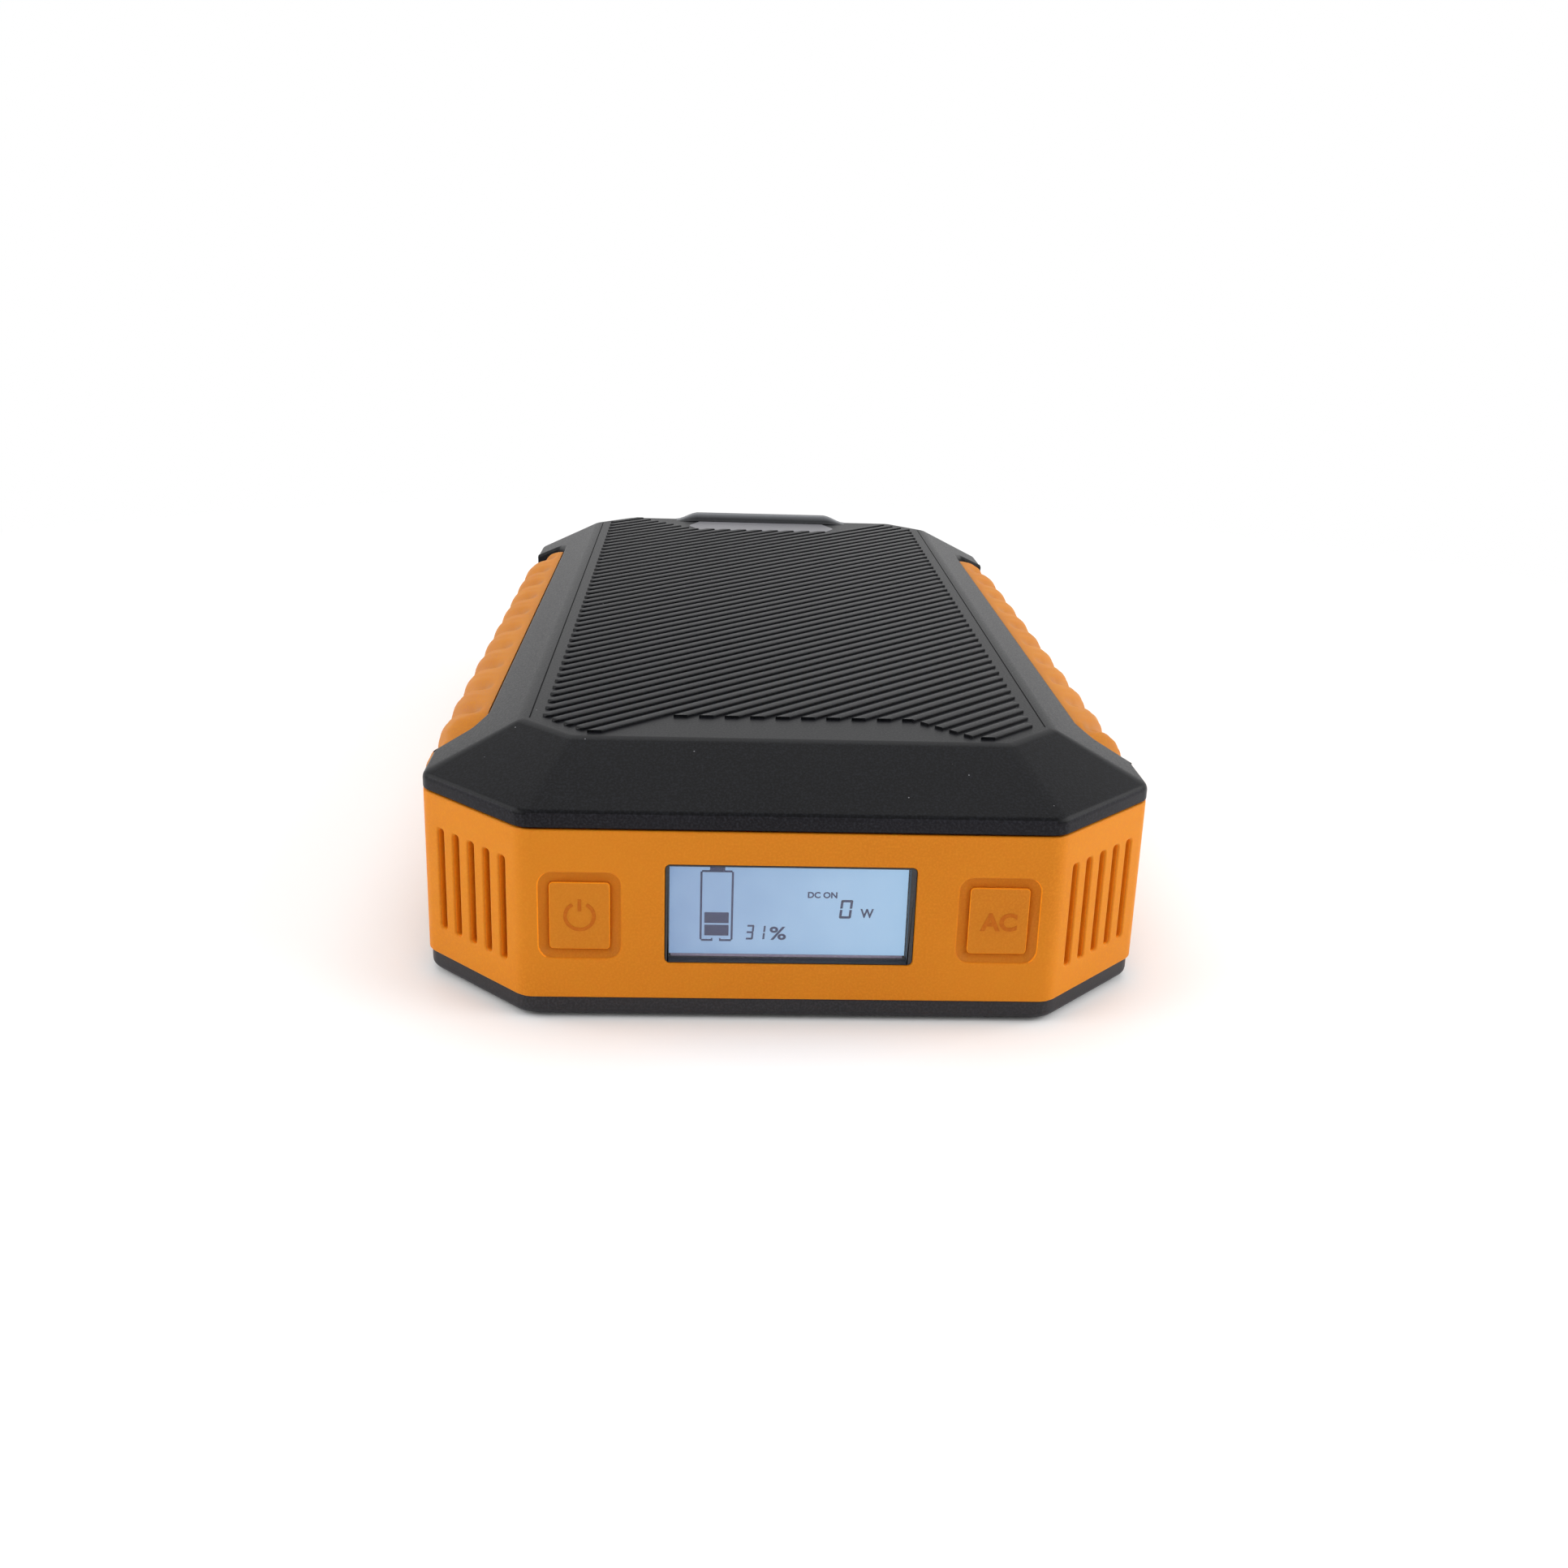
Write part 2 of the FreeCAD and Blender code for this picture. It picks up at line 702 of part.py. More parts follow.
def make_hood():
    """Raised bar above the outlets; it follows the rear bevel down to the rim."""
    def section(level):
        base = f"{level} - bevel_drop / 4"
        return [("-hood_base_half", base), ("hood_base_half", base), ("hood_base_half", level),
                ("hood_top_half", f"{level} + hood_height"),
                ("-hood_top_half", f"{level} + hood_height"), ("-hood_base_half", level)]

    rear = "half_length"
    return loft("lid_hood", "Y", [
        ("half_length - hood_start", section("case_top")),
        ("top_length", section("case_top")),
        (rear, section("rim_top")),
    ])


def rib_field():
    """Slanting ribs, trimmed to the field between the bare strip, the hood and the edges."""
    edge = "(top_half - rib_side_margin)"
    end = "(top_length - rib_end_margin)"
    cut_in = "(top_cut - (rib_side_margin + rib_end_margin) * 0.293)"
    bare = "(top_length - bare_strip)"
    bare_out = "(bare_half + bare_strip - rib_end_margin)"
    hood = "(half_length - hood_start - bare_strip)"
    hood_out = f"(scoop_half + {end} - {hood})"
    right = [
        ("bare_half", f"-{bare}"), (bare_out, f"-{end}"), (f"{edge} - {cut_in}", f"-{end}"),
        (edge, f"-({end} - {cut_in})"), (edge, f"{end} - {cut_in}"), (f"{edge} - {cut_in}", end),
        (hood_out, end), ("scoop_half", hood),
    ]
    left = [(f"-({u})", v) for u, v in reversed(right)]
    low, high = "case_top - 0.3", "case_top + rib_height"
    field = prism("rib_field", "Z", low, high, [right + left])
    count = int(value(f"{edge} + {end}") / value("rib_pitch"))
    length = f"2.9 * {end}"
    bars = []
    for number in range(-count, count):
        bar = doc.addObject("Part::Box", f"rib_{number + count}")
        bar.Placement.Rotation = FreeCAD.Rotation(Vector(0, 0, 1), 45)
        bind(bar, "Length", length)
        bind(bar, "Width", "rib_width")
        bind(bar, "Height", "rib_height + 0.3")
        shift = f"({number} + 0.5) * rib_pitch + rib_phase"
        bind(bar, "Placement.Base.x", f"{shift} - {length} / 2 / sqrt(2) + rib_width / 2 / sqrt(2)")
        bind(bar, "Placement.Base.y", f"-({length}) / 2 / sqrt(2) - rib_width / 2 / sqrt(2)")
        bind(bar, "Placement.Base.z", low)
        bars.append(bar)
    return shared("ribs", [field, group("rib_bars", bars)])


def make_top_cover():
    """Black lid with ribs, hood and four bored screw posts."""
    cover = joined("lid_with_ribs", [lid_shell(), rib_field()])
    bores = [
        rod(f"lid_bore_{number}", "Z", (x, y, "floor_top"), "case_screw_radius + 0.03",
            "case_screw_length + 2")
        for number, (x, y) in enumerate(four_corners("screw_x", "screw_y"))
    ]
    return cut("top_cover", cover, group("lid_bores", bores))


def make_end_panel(label, side):
    """Soft orange skin over one end of the frame, with its corner vents."""
    body = new_body(label)
    pad(body, "Z", "base_height", "panel_top", [end_skin(side)])
    outer = value("half_length - corner_cut")
    limit = value("half_width + half_length - corner_cut")

    def outside_corner(edge):
        if not runs_along(edge, Vector(0, 0, 1)):
            return False
        spot = edge.Vertexes[0].Point
        return abs(spot.y) > outer - 0.01 and abs(spot.x) + abs(spot.y) > limit - 0.01

    round_edges(body, "panel_round", outside_corner)
    pocket(body, "Z", "vent_low", "vent_high", vent_slots(side))
    return body


def make_front_panel():
    """Front skin: display window, and a thinned groove around each button."""
    body = make_end_panel("front_panel", FRONT)
    window = rectangle("0", "window_level", "window_width", "window_height")
    slack = "2 * membrane_gap"
    holes = [window]
    grooves = []
    for hand in (-1, 1):
        centre = f"{hand} * button_centre"
        grooves.append(rectangle(centre, "button_level", "groove_width", "groove_height"))
        holes.append(rectangle(centre, "button_level",
                               f"button_width + {slack}", f"button_height + {slack}"))
    pocket(body, "Y", "-half_length - 1", "-half_length + groove_depth", grooves)
    pocket(body, "Y", "-half_length - 1", "-half_length + skin_thickness + 1", holes)
    return body


def make_rear_panel():
    """Rear skin: openings for the mains outlet and the two port plates."""
    body = make_end_panel("rear_panel", REAR)
    middle = "(control_low + control_high) / 2"
    slack = "2 * fit_gap"
    openings = [rectangle("0", "outlet_level", f"outlet_width + {slack}", f"outlet_height + {slack}")]
    for hand in (-1, 1):
        openings.append(rectangle(f"{hand} * plate_centre", middle,
                                  f"plate_width + {slack}", f"plate_height + {slack}"))
    pocket(body, "Y", "half_length - skin_thickness - 1", "half_length + 1", openings)
    return body


def grip_reach(z, low, top, middle):
    """How far the grip's smooth bulge stands out from its inner face at a height."""
    bulge = value("grip_bulge - grip_gap / 2")
    foot = value("half_width - grip_low - waist_half - grip_gap / 2")
    if z < middle:
        return bulge - (bulge - foot) * ((middle - z) / (middle - low)) ** 2
    share = (z - middle) / (top - middle + 1.2)
    return bulge * (0.12 + 0.88 * math.sqrt(max(0.0, 1 - share ** 2)))


def strand(number, levels, low, top, middle):
    """One slanting strand of a grip, reaching inwards past the grip's inner face."""
    inner = value("waist_half + grip_gap / 2")
    pitch, groove = value("strand_pitch"), value("strand_groove")
    rows = []
    for z in levels:
        fade = max(0.0, min(1.0, (top - 1.0 - z) / 7))
        reach = inner + grip_reach(z, low, top, middle)
        shift = value("strand_slant") * (middle - z)
        rows.append([
            Vector(reach - groove * fade * (2 * part - 1) ** 2, (number + part) * pitch + shift, z)
            for part in (0, 0.25, 0.5, 0.75, 1)
        ])
    surface = Part.BSplineSurface()
    surface.interpolate(rows)
    return surface.toShape().extrude(Vector(-value("3 * grip_bulge"), 0, 0))


def grip_solid():
    """Right-hand grip: strands fused, then trimmed to the seat and the lid's notch."""
    inner = value("waist_half + grip_gap / 2")
    half = value("notch_half - grip_gap")
    low = value("base_height + fit_gap")
    shoulder = value("rim_bottom - grip_gap")
    top = value("rim_bottom + grip_top")
    middle = (low + top) / 2 + value("grip_rise")
    above = [middle + (top - middle + 1) * math.sin(math.radians(a)) for a in range(18, 91, 18)]
    below = [middle - (middle - low + 1) * step / 5 for step in range(5, -1, -1)]
    lean = value("strand_slant") * (top - low)
    count = int((half + lean) / value("strand_pitch")) + 1
    strands = [strand(n, below + above, low, top, middle) for n in range(-count, count)]
    bulge = strands[0].multiFuse(strands[1:])
    plan = [Vector(value(u), value(v), shoulder - 1) for u, v in notch(1, "grip_gap")]
    upper = Part.Face(Part.makePolygon(plan + plan[:1])).extrude(Vector(0, 0, top - shoulder + 1))
    width = value("2 * grip_bulge")
    slab = Part.makeBox(width, 2 * half, shoulder - low, Vector(inner, -half, low))
    return bulge.common(upper.fuse(slab)).Solids[0].removeSplitter()


def make_grips():
    """Soft bulging side grips of slanting strands, tucked under the lid's flares."""
    right = doc.addObject("Part::Feature", "grip_right")
    right.Shape = grip_solid()
    left = doc.addObject("Part::Feature", "grip_left")
    left.Shape = right.Shape.mirror(Vector(0, 0, 0), Vector(1, 0, 0))
    return [left, right]


def make_rubber_feet():
    """Four round rubber feet set in the tray."""
    return group("rubber_feet", [
        rod(f"foot_{number}", "Z", (x, y, "0"), "foot_radius", "foot_stand + foot_recess")
        for number, (x, y) in enumerate(four_corners("half_width - foot_x", "half_length - foot_y"))
    ])


def make_case_screws():
    """Four long screws from below into the lid's posts."""
    screws = []
    for number, (x, y) in enumerate(four_corners("screw_x", "screw_y")):
        head = rod(f"case_head_{number}", "Z", (x, y, "foot_stand + fit_gap"),
                   "case_head_radius", "case_head_height")
        shank = rod(f"case_shank_{number}", "Z", (x, y, "foot_stand + fit_gap"),
                    "case_screw_radius", "case_screw_length")
        socket = rod(f"case_socket_{number}", "Z", (x, y, "foot_stand + fit_gap"),
                     "case_screw_radius * 0.7", "case_head_height / 2")
        screws.append(cut(f"case_screw_{number}", joined(f"case_blank_{number}", [head, shank]),
                          socket))
    return group("case_screws", screws)


# ---------------------------------------------------------------------------
# Display and buttons
# ---------------------------------------------------------------------------


def make_display_bezel():
    """Thin black frame that lines the window and stands on the glass."""
    body = new_body("display_bezel")
    outer = rectangle("0", "window_level", "window_width - 2 * fit_gap", "window_height - 2 * fit_gap")
    inner = rectangle("0", "window_level", "window_width - 2 * bezel_width",
                      "window_height - 2 * bezel_width")
    pad(body, "Y", "-half_length + bezel_depth", "glass_front", [outer])
    pocket(body, "Y", "-half_length + bezel_depth - 1", "glass_front + 1", [inner])
    return body


def make_display_lens():
    """Clear window inside the bezel, lying on the glass."""
    body = new_body("display_lens")
    trim = "2 * bezel_width + 2 * fit_gap"
    pane = rectangle("0", "window_level", f"window_width - ({trim})", f"window_height - ({trim})")
    pad(body, "Y", "glass_front - lens_thickness", "glass_front", [pane])
    return body


def make_display_layer(label, front, back):
    """A layer of the display module: the glass or the light box behind it."""
    body = new_body(label)
    pad(body, "Y", front, back, [rectangle("0", "window_level", "glass_width", "glass_height")])
    return body


def make_control_board():
    """Upright board behind the display; it carries the two switches."""
    body = new_body("control_board")
    pad(body, "Y", "control_front", "control_back",
        [span("-control_half", "control_half", "control_low", "control_high")])
    pocket(body, "Y", "control_front - 1", "control_back + 1",
           circles=[(x, z, "board_screw_radius + fit_gap") for x, z in control_screws()])
    return body


def make_button(label, hand):
    """Soft pad with a hidden flange and a stem that meets the switch plunger."""
    body = new_body(label)
    centre = f"{hand} * button_centre"
    inside = "-half_length + skin_thickness"
    pad(body, "Y", "-half_length", inside,
        [rectangle(centre, "button_level", "button_width", "button_height")])
    lip = "2 * button_lip"
    pad(body, "Y", f"{inside} + fit_gap", "flange_back",
        [rectangle(centre, "button_level", f"button_width + {lip}", f"button_height + {lip}")])
    pad(body, "Y", f"{inside} - 0.5", "plunger_front", circles=[(centre, "button_level", "stem_radius")])
    return body


def make_plunger(label, hand):
    """Moving part of a switch, pushed by the button's stem."""
    body = new_body(label)
    pad(body, "Y", "plunger_front", "switch_front + plunger_sink",
        circles=[(f"{hand} * button_centre", "button_level", "plunger_radius")])
    return body


def make_switch(label, hand):
    """Fixed part of a switch, soldered to the control board."""
    body = new_body(label)
    centre = f"{hand} * button_centre"
    pad(body, "Y", "switch_front", "control_front",
        [rectangle(centre, "button_level", "switch_side", "switch_side")])
    pocket(body, "Y", "switch_front", "switch_front + plunger_sink + button_travel + fit_gap",
           circles=[(centre, "button_level", "plunger_radius + running_gap")])
    return body


def make_board_screws():
    """Small screws that hold the control, port and inverter boards."""
    screws = []
    places = [(x, "control_back", z, "Y", -1) for x, z in control_screws()]
    places += [(x, "port_front - board_thickness", z, "Y", 1) for x, z in port_screws()]
    places += [(x, y, "inverter_high", "Z", -1) for x, y in inverter_screws()]
    for number, (x, y, z, axis, way) in enumerate(places):
        length = "(board_thickness + board_screw_length - 1)"
        if axis == "Z":
            length = "(board_thickness + board_standoff - 1)"
        shift_back = "board_head_height" if way > 0 else "0"
        shank_back = "0" if way > 0 else length
        along = y if axis == "Y" else z
        head_at = f"({along}) - {shift_back}"
        shank_at = f"({along}) - {shank_back}"
        head_base = (x, head_at, z) if axis == "Y" else (x, y, head_at)
        shank_base = (x, shank_at, z) if axis == "Y" else (x, y, shank_at)
        head = rod(f"board_head_{number}", axis, head_base, "board_head_radius", "board_head_height")
        shank = rod(f"board_shank_{number}", axis, shank_base, "board_screw_radius", length)
        screws.append(joined(f"board_screw_{number}", [head, shank]))
    return group("board_screws", screws)


# ---------------------------------------------------------------------------
# Battery pack
# ---------------------------------------------------------------------------


def cell_places():
    """Centres of all the cells, as y and z."""
    places = []
    for layer in range(2):
        for column in range(int(value("pack_columns"))):
            y = f"pack_front + holder_end + ({column} + 0.5) * cell_pitch"
            z = f"pack_bottom + holder_rim + cell_diameter / 2 + {layer} * cell_pitch"
            places.append((y, z))
    return places


def make_battery_cells():
    """Round cells in two layers across the case."""
    start = "pack_left + card_thickness + strip_thickness"
    return group("battery_cells", [
        rod(f"cell_{number}", "X", (start, y, z), "cell_diameter / 2", "cell_length")
        for number, (y, z) in enumerate(cell_places())
    ])


def make_cell_holder(label, low):
    """Comb block that holds one end of every cell."""
    body = new_body(label)
    high = f"({low}) + holder_depth"
    pad(body, "X", low, high, [span("pack_front", "pack_back", "pack_bottom", "pack_top")])
    bores = [(y, z, "cell_diameter / 2 + running_gap") for y, z in cell_places()]
    pocket(body, "X", f"({low}) - 1", f"({high}) + 1", circles=bores)
    return body


def make_nickel_strips(label, low):
    """Welded strips, each across two columns and both layers."""
    strips = []
    middle = "(pack_bottom + pack_top) / 2"
    for pair in range(int(value("pack_columns")) // 2):
        centre = f"pack_front + holder_end + ({2 * pair} + 1) * cell_pitch"
        strips.append(box(
            f"{label}_{pair}",
            (low, f"{centre} - cell_pitch + 4", f"{middle} - cell_pitch / 2 - 4"),
            (f"({low}) + strip_thickness", f"{centre} + cell_pitch - 4",
             f"{middle} + cell_pitch / 2 + 4"),
        ))
    return group(label, strips)


def make_flat_sheet(label, low, high):
    """A flat card or foam pad between two corners."""
    return box(label, low, high)


def make_bms():
    """Protection board on the pack's left card, with its transistors."""
    front, back = "-bms_length / 2 - 8", "bms_length / 2 - 8"
    low = "(pack_bottom + pack_top) / 2 - bms_height / 2"
    face = "pack_left - fit_gap"
    board = box("bms_board", (f"{face} - board_thickness", front, low),
                (face, back, f"{low} + bms_height"))
    chips = []
    for number in range(6):
        y = f"({front}) + bms_length * ({number} + 0.5) / 6"
        chips.append(box(
            f"bms_chip_{number}",
            (f"{face} - board_thickness - bms_chip", f"{y} - 2.5", f"{low} + 4"),
            (f"{face} - board_thickness", f"{y} + 2.5", f"{low} + 10"),
        ))
    return [board, group("bms_transistors", chips)]


# ---------------------------------------------------------------------------
# Lane beside the pack: fan and inverter
# ---------------------------------------------------------------------------


def make_fan_frame():
    """Square fan housing with a round duct, rear spokes and a bearing tube."""
    body = new_body("fan_frame")
    back = "pack_front + fan_depth"
    spoke_front = f"{back} - 1.5"
    pad(body, "Y", "pack_front", back,
        [rectangle("lane_middle", "fan_level", "fan_side", "fan_side")])
    pocket(body, "Y", "pack_front - 1", spoke_front,
           circles=[("lane_middle", "fan_level", "duct_radius")])
    ring = "(duct_radius * 0.7)"
    edge = "(duct_radius * 0.62)"
    for a, b in ((1, 1), (1, -1), (-1, 1), (-1, -1)):
        window = [
            (f"lane_middle + {a} * 1.2", f"fan_level + {b} * (hub_radius + 0.6)"),
            (f"lane_middle + {a} * (hub_radius + 0.6)", f"fan_level + {b} * 1.2"),
            (f"lane_middle + {a} * duct_radius * 0.96", f"fan_level + {b} * 1.2"),
            (f"lane_middle + {a} * {ring}", f"fan_level + {b} * {edge}"),
            (f"lane_middle + {a} * 1.2", f"fan_level + {b} * duct_radius * 0.96"),
        ]
        pocket(body, "Y", f"{spoke_front} - 1", f"{back} + 1", [window])
    pad(body, "Y", "pack_front + 3.5", spoke_front,
        circles=[("lane_middle", "fan_level", "bearing_radius")])
    pocket(body, "Y", "pack_front", back,
           circles=[("lane_middle", "fan_level", "shaft_radius + running_gap")])
    holes = [(f"lane_middle + {a} * (fan_side / 2 - 3)", f"fan_level + {b} * (fan_side / 2 - 3)",
              "1.6") for a in (-1, 1) for b in (-1, 1)]
    pocket(body, "Y", "pack_front - 1", f"{back} + 1", circles=holes)
    return body


def make_fan_rotor():
    """Cup hub, shaft and slanted blades; it turns in the bearing tube."""
    centre = Vector(value("lane_middle"), value("pack_front"), value("fan_level"))
    axis = Vector(0, 1, 0)
    hub = value("hub_radius")
    front = centre + axis * 0.8
    depth = value("fan_depth") - 3.0
    cup = Part.makeCylinder(hub, depth, front, axis)
    room = Part.makeCylinder(hub - 1.2, depth, front + axis * 1.4, axis)
    shaft = Part.makeCylinder(value("shaft_radius"), value("fan_depth") - 1.4, front, axis)
    rotor = cup.cut(room).fuse(shaft)
    reach = value("blade_reach")
    count = int(value("blade_count"))
    for number in range(count):
        blade = Part.makeBox(reach - hub + 0.8, 1.0, 8.4, Vector(hub - 0.8, -0.5, -4.2))
        blade.rotate(Vector(0, 0, 0), Vector(1, 0, 0), 48)
        blade.rotate(Vector(0, 0, 0), Vector(1, 0, 0), -90)
        blade.rotate(Vector(0, 0, 0), axis, number * 360 / count)
        blade.translate(front + axis * (depth / 2))
        rotor = rotor.fuse(blade)
    swept = Part.makeCylinder(reach, depth, front, axis)
    rotor = rotor.common(swept.fuse(shaft))
    fan = doc.addObject("Part::Feature", "fan_rotor")
    fan.Shape = rotor.removeSplitter()
    return fan


def make_inverter_board():
    """Long board on four bosses in the lane."""
    body = new_body("inverter_board")
    side = "(lane_width / 2 - 1.2)"
    pad(body, "Z", "inverter_low", "inverter_high",
        [span(f"lane_middle - {side}", f"lane_middle + {side}", "inverter_front", "pack_back - 2")])
    pocket(body, "Z", "inverter_low - 1", "inverter_high + 1",
           circles=[(x, y, "board_screw_radius + fit_gap") for x, y in inverter_screws()])
    return body


def make_transformer():
    """Ferrite core around a wound bobbin."""
    centre_y = "inverter_front + 8 + core_length / 2"
    half = "(fan_side / 2 - 2)"
    wound_half = f"({half} - core_leg - fit_gap)"
    core = new_body("transformer_core")
    pad(core, "Y", f"{centre_y} - core_length / 4", f"{centre_y} + core_length / 4",
        [span(f"lane_middle - {half}", f"lane_middle + {half}", "inverter_high",
              "inverter_high + core_height")])
    pocket(core, "Y", f"{centre_y} - core_length", f"{centre_y} + core_length",
           [span(f"lane_middle - {half} + core_leg", f"lane_middle + {half} - core_leg",
                 "inverter_high - 1", "inverter_high + core_height - core_leg")])
    winding = new_body("transformer_winding")
    pad(winding, "Z", "inverter_high", "inverter_high + core_height - core_leg - fit_gap",
        [span(f"lane_middle - {wound_half}", f"lane_middle + {wound_half}",
              f"{centre_y} - core_length / 2", f"{centre_y} + core_length / 2")])
    round_edges(winding, "1.5", lambda edge: runs_along(edge, Vector(0, 0, 1)))
    return [core, winding]


def make_heatsink():
    """Aluminium plate with fins, standing on the inverter board."""
    body = new_body("heatsink")
    front = "inverter_front + core_length + 13"
    left = "lane_middle - fan_side / 2 + 1.5"
    right = "lane_middle + 1"
    pad(body, "Z", "inverter_high", "inverter_high + sink_height",
        [span(left, right, front, f"{front} + sink_length")])
    gap = "((sink_length - fin_count * fin_thickness) / (fin_count - 1))"
    for number in range(int(value("fin_count")) - 1):
        start = f"{front} + fin_thickness + {number} * (fin_thickness + {gap})"
        pocket(body, "Z", "inverter_high - 1", "inverter_high + sink_height + 1",
               [span(f"{left} - 1", f"{right} - sink_plate", start, f"{start} + {gap}")])
    chips = []
    for number in range(4):
        y = f"{front} + sink_length * ({number} + 0.5) / 4"
        face = f"{right} + fit_gap"
        tab = box(f"power_tab_{number}", (face, f"{y} - 4.5", "inverter_high + 6"),
                  (f"{face} + 4.4", f"{y} + 4.5", "inverter_high + 20"))
        legs = box(f"power_legs_{number}", (f"{face} + 1.6", f"{y} - 3", "inverter_high"),
                   (f"{face} + 2.2", f"{y} + 3", "inverter_high + 6"))
        chips.append(joined(f"power_chip_{number}", [tab, legs]))
    return [body, group("power_transistors", chips)]


def make_board_parts():
    """Smoothing capacitors and a choke near the rear of the inverter board."""
    row = "inverter_front + core_length + sink_length + 17"
    cans = []
    for number, hand in enumerate((-1, 1)):
        cans.append(rod(
            f"capacitor_{number}", "Z",
            (f"lane_middle + {hand} * (capacitor_radius + 0.6)", f"{row} + capacitor_radius",
             "inverter_high"),
            "capacitor_radius", "capacitor_height"))
    ring = doc.addObject("Part::Torus", "choke_coil")
    ring.Placement.Rotation = FreeCAD.Rotation(Vector(0, 1, 0), 90)
    bind(ring, "Radius1", "choke_ring")
    bind(ring, "Radius2", "choke_section")
    bind(ring, "Placement.Base.x", "lane_middle - 6")
    bind(ring, "Placement.Base.y", f"{row} + 2 * capacitor_radius + choke_ring + choke_section + 1")
    bind(ring, "Placement.Base.z", "inverter_high + choke_ring + choke_section + 0.05")
    return [group("capacitors", cans), ring]


# ---------------------------------------------------------------------------
# Outlets at the rear
# ---------------------------------------------------------------------------


def blade_places():
    """Centres of the two blade slots and the earth hole, as x and z."""
    level = "outlet_level + earth_drop / 2 - 1"
    half = "blade_slot_spacing / 2"
    return [(f"-({half})", level), (half, level), ("0", f"{level} - earth_drop")]


def make_ac_outlet():
    """Mains outlet block: face, flange behind the frame, slots and terminals' seats."""
    body = new_body("ac_outlet")
    face = "half_length - 0.3"
    pad(body, "Y", "bay_back - outlet_flange", face,
        [rectangle("0", "outlet_level", "outlet_width", "outlet_height")])
    round_edges(body, "2.5", lambda edge: runs_along(edge, Vector(0, 1, 0)))
    pad(body, "Y", "bay_back - outlet_flange", "bay_back - fit_gap",
        [rectangle("0", "outlet_level", "outlet_width + 2 * outlet_lip",
                   "outlet_height + outlet_lip / 2")])
    pad(body, "Y", "outlet_back", "bay_back - outlet_flange",
        [rectangle("0", "outlet_level", "outlet_width - 4", "outlet_height - 3")])
    (left, level), (right, _), (middle, earth) = blade_places()
    slots = [rectangle(x, level, "blade_slot_width", "blade_slot_height") for x in (left, right)]
    pocket(body, "Y", f"{face} - slot_depth", f"{face} + 1", slots)
    pocket(body, "Y", f"{face} - slot_depth", f"{face} + 1",
           circles=[(middle, earth, "earth_radius")])
    seats = [rectangle(x, z, "terminal_thickness + 2 * running_gap",
                       "terminal_width + 2 * running_gap") for x, z in blade_places()[:2]]
    seats.append(rectangle(middle, earth, "terminal_width + 2 * running_gap",
                           "terminal_thickness + 2 * running_gap"))
    pocket(body, "Y", "outlet_back - 1", "outlet_back + 4", seats)
    return body


def make_outlet_terminals():
    """Brass tabs at the back of the outlet."""
    (left, level), (right, _), (middle, earth) = blade_places()
    tabs = []
    for number, (x, z, wide, tall) in enumerate((
        (left, level, "terminal_thickness", "terminal_width"),
        (right, level, "terminal_thickness", "terminal_width"),
        (middle, earth, "terminal_width", "terminal_thickness"),
    )):
        tabs.append(box(
            f"terminal_{number}",
            (f"{x} - {wide} / 2", "outlet_back + 4 - terminal_length", f"{z} - {tall} / 2"),
            (f"{x} + {wide} / 2", "outlet_back + 4", f"{z} + {tall} / 2"),
        ))
    return group("outlet_terminals", tabs)


def make_port_board(label, hand):
    """Upright board behind one port plate."""
    body = new_body(label)
    near, far = "plate_centre - plate_width / 2", "plate_centre + plate_width / 2 + 2 * boss_radius + 2"
    left, right = (near, far) if hand > 0 else (f"-({far})", f"-({near})")
    pad(body, "Y", "port_front - board_thickness", "port_front",
        [span(left, right, "control_low", "control_high")])
    holes = [(x, z, "board_screw_radius + fit_gap") for x, z in port_screws()
             if value(x) * hand > 0]
    pocket(body, "Y", "port_front - board_thickness - 1", "port_front + 1", circles=holes)
    return body


def make_port_plate(label, hand, openings=(), rounds=()):
    """Black cover plate set flush in the rear skin around the ports."""
    body = new_body(label)
    middle = "(control_low + control_high) / 2"
    pad(body, "Y", "half_length - skin_thickness", "half_length - 0.3",
        [rectangle(f"{hand} * plate_centre", middle, "plate_width", "plate_height")])
    pocket(body, "Y", "half_length - skin_thickness - 1", "half_length + 1", openings, rounds)
    return body


def usb_sockets():
    """Width, height and level of each USB socket, from the top down."""
    return [
        ("usb_a_width", "usb_a_height", "usb_a_upper"),
        ("usb_a_width", "usb_a_height", "usb_a_lower"),
        ("usb_c_width", "usb_c_height", "usb_c_level"),
    ]


def make_usb_socket(name, width, height, level):
    """A pressed shell, open to the rear and closed on the board."""
    mouth = "half_length - 0.6"
    outer = prism(f"{name}_outer", "Y", "port_front", mouth,
                  [rectangle("-plate_centre", level, width, height)])
    inner = prism(f"{name}_inner", "Y", "port_front + 2", f"{mouth} + 1",
                  [rectangle("-plate_centre", level, f"{width} - 2 * shell_wall",
                             f"{height} - 2 * shell_wall")])
    return cut(name, outer, inner)


def make_usb_ports():
    """Shells and contact tongues of the USB sockets."""
    shells = [make_usb_socket(f"usb_shell_{number}", *socket)
              for number, socket in enumerate(usb_sockets())]
    tongues = []
    for number, (width, height, level) in enumerate(usb_sockets()):
        thick = "0.7" if width == "usb_c_width" else "1.8"
        rise = "0" if width == "usb_c_width" else "0.6"
        tongues.append(prism(
            f"usb_tongue_{number}", "Y", "port_front + 2", "half_length - 3.2",
            [rectangle("-plate_centre", f"{level} + {rise}", f"{width} - 2 * shell_wall - 1.4", thick)]))
    return [
        group("usb_a_shells", shells[:2]), group("usb_a_tongues", tongues[:2]),
        group("usb_c_shell", shells[2:]), group("usb_c_tongue", tongues[2:]),
    ]


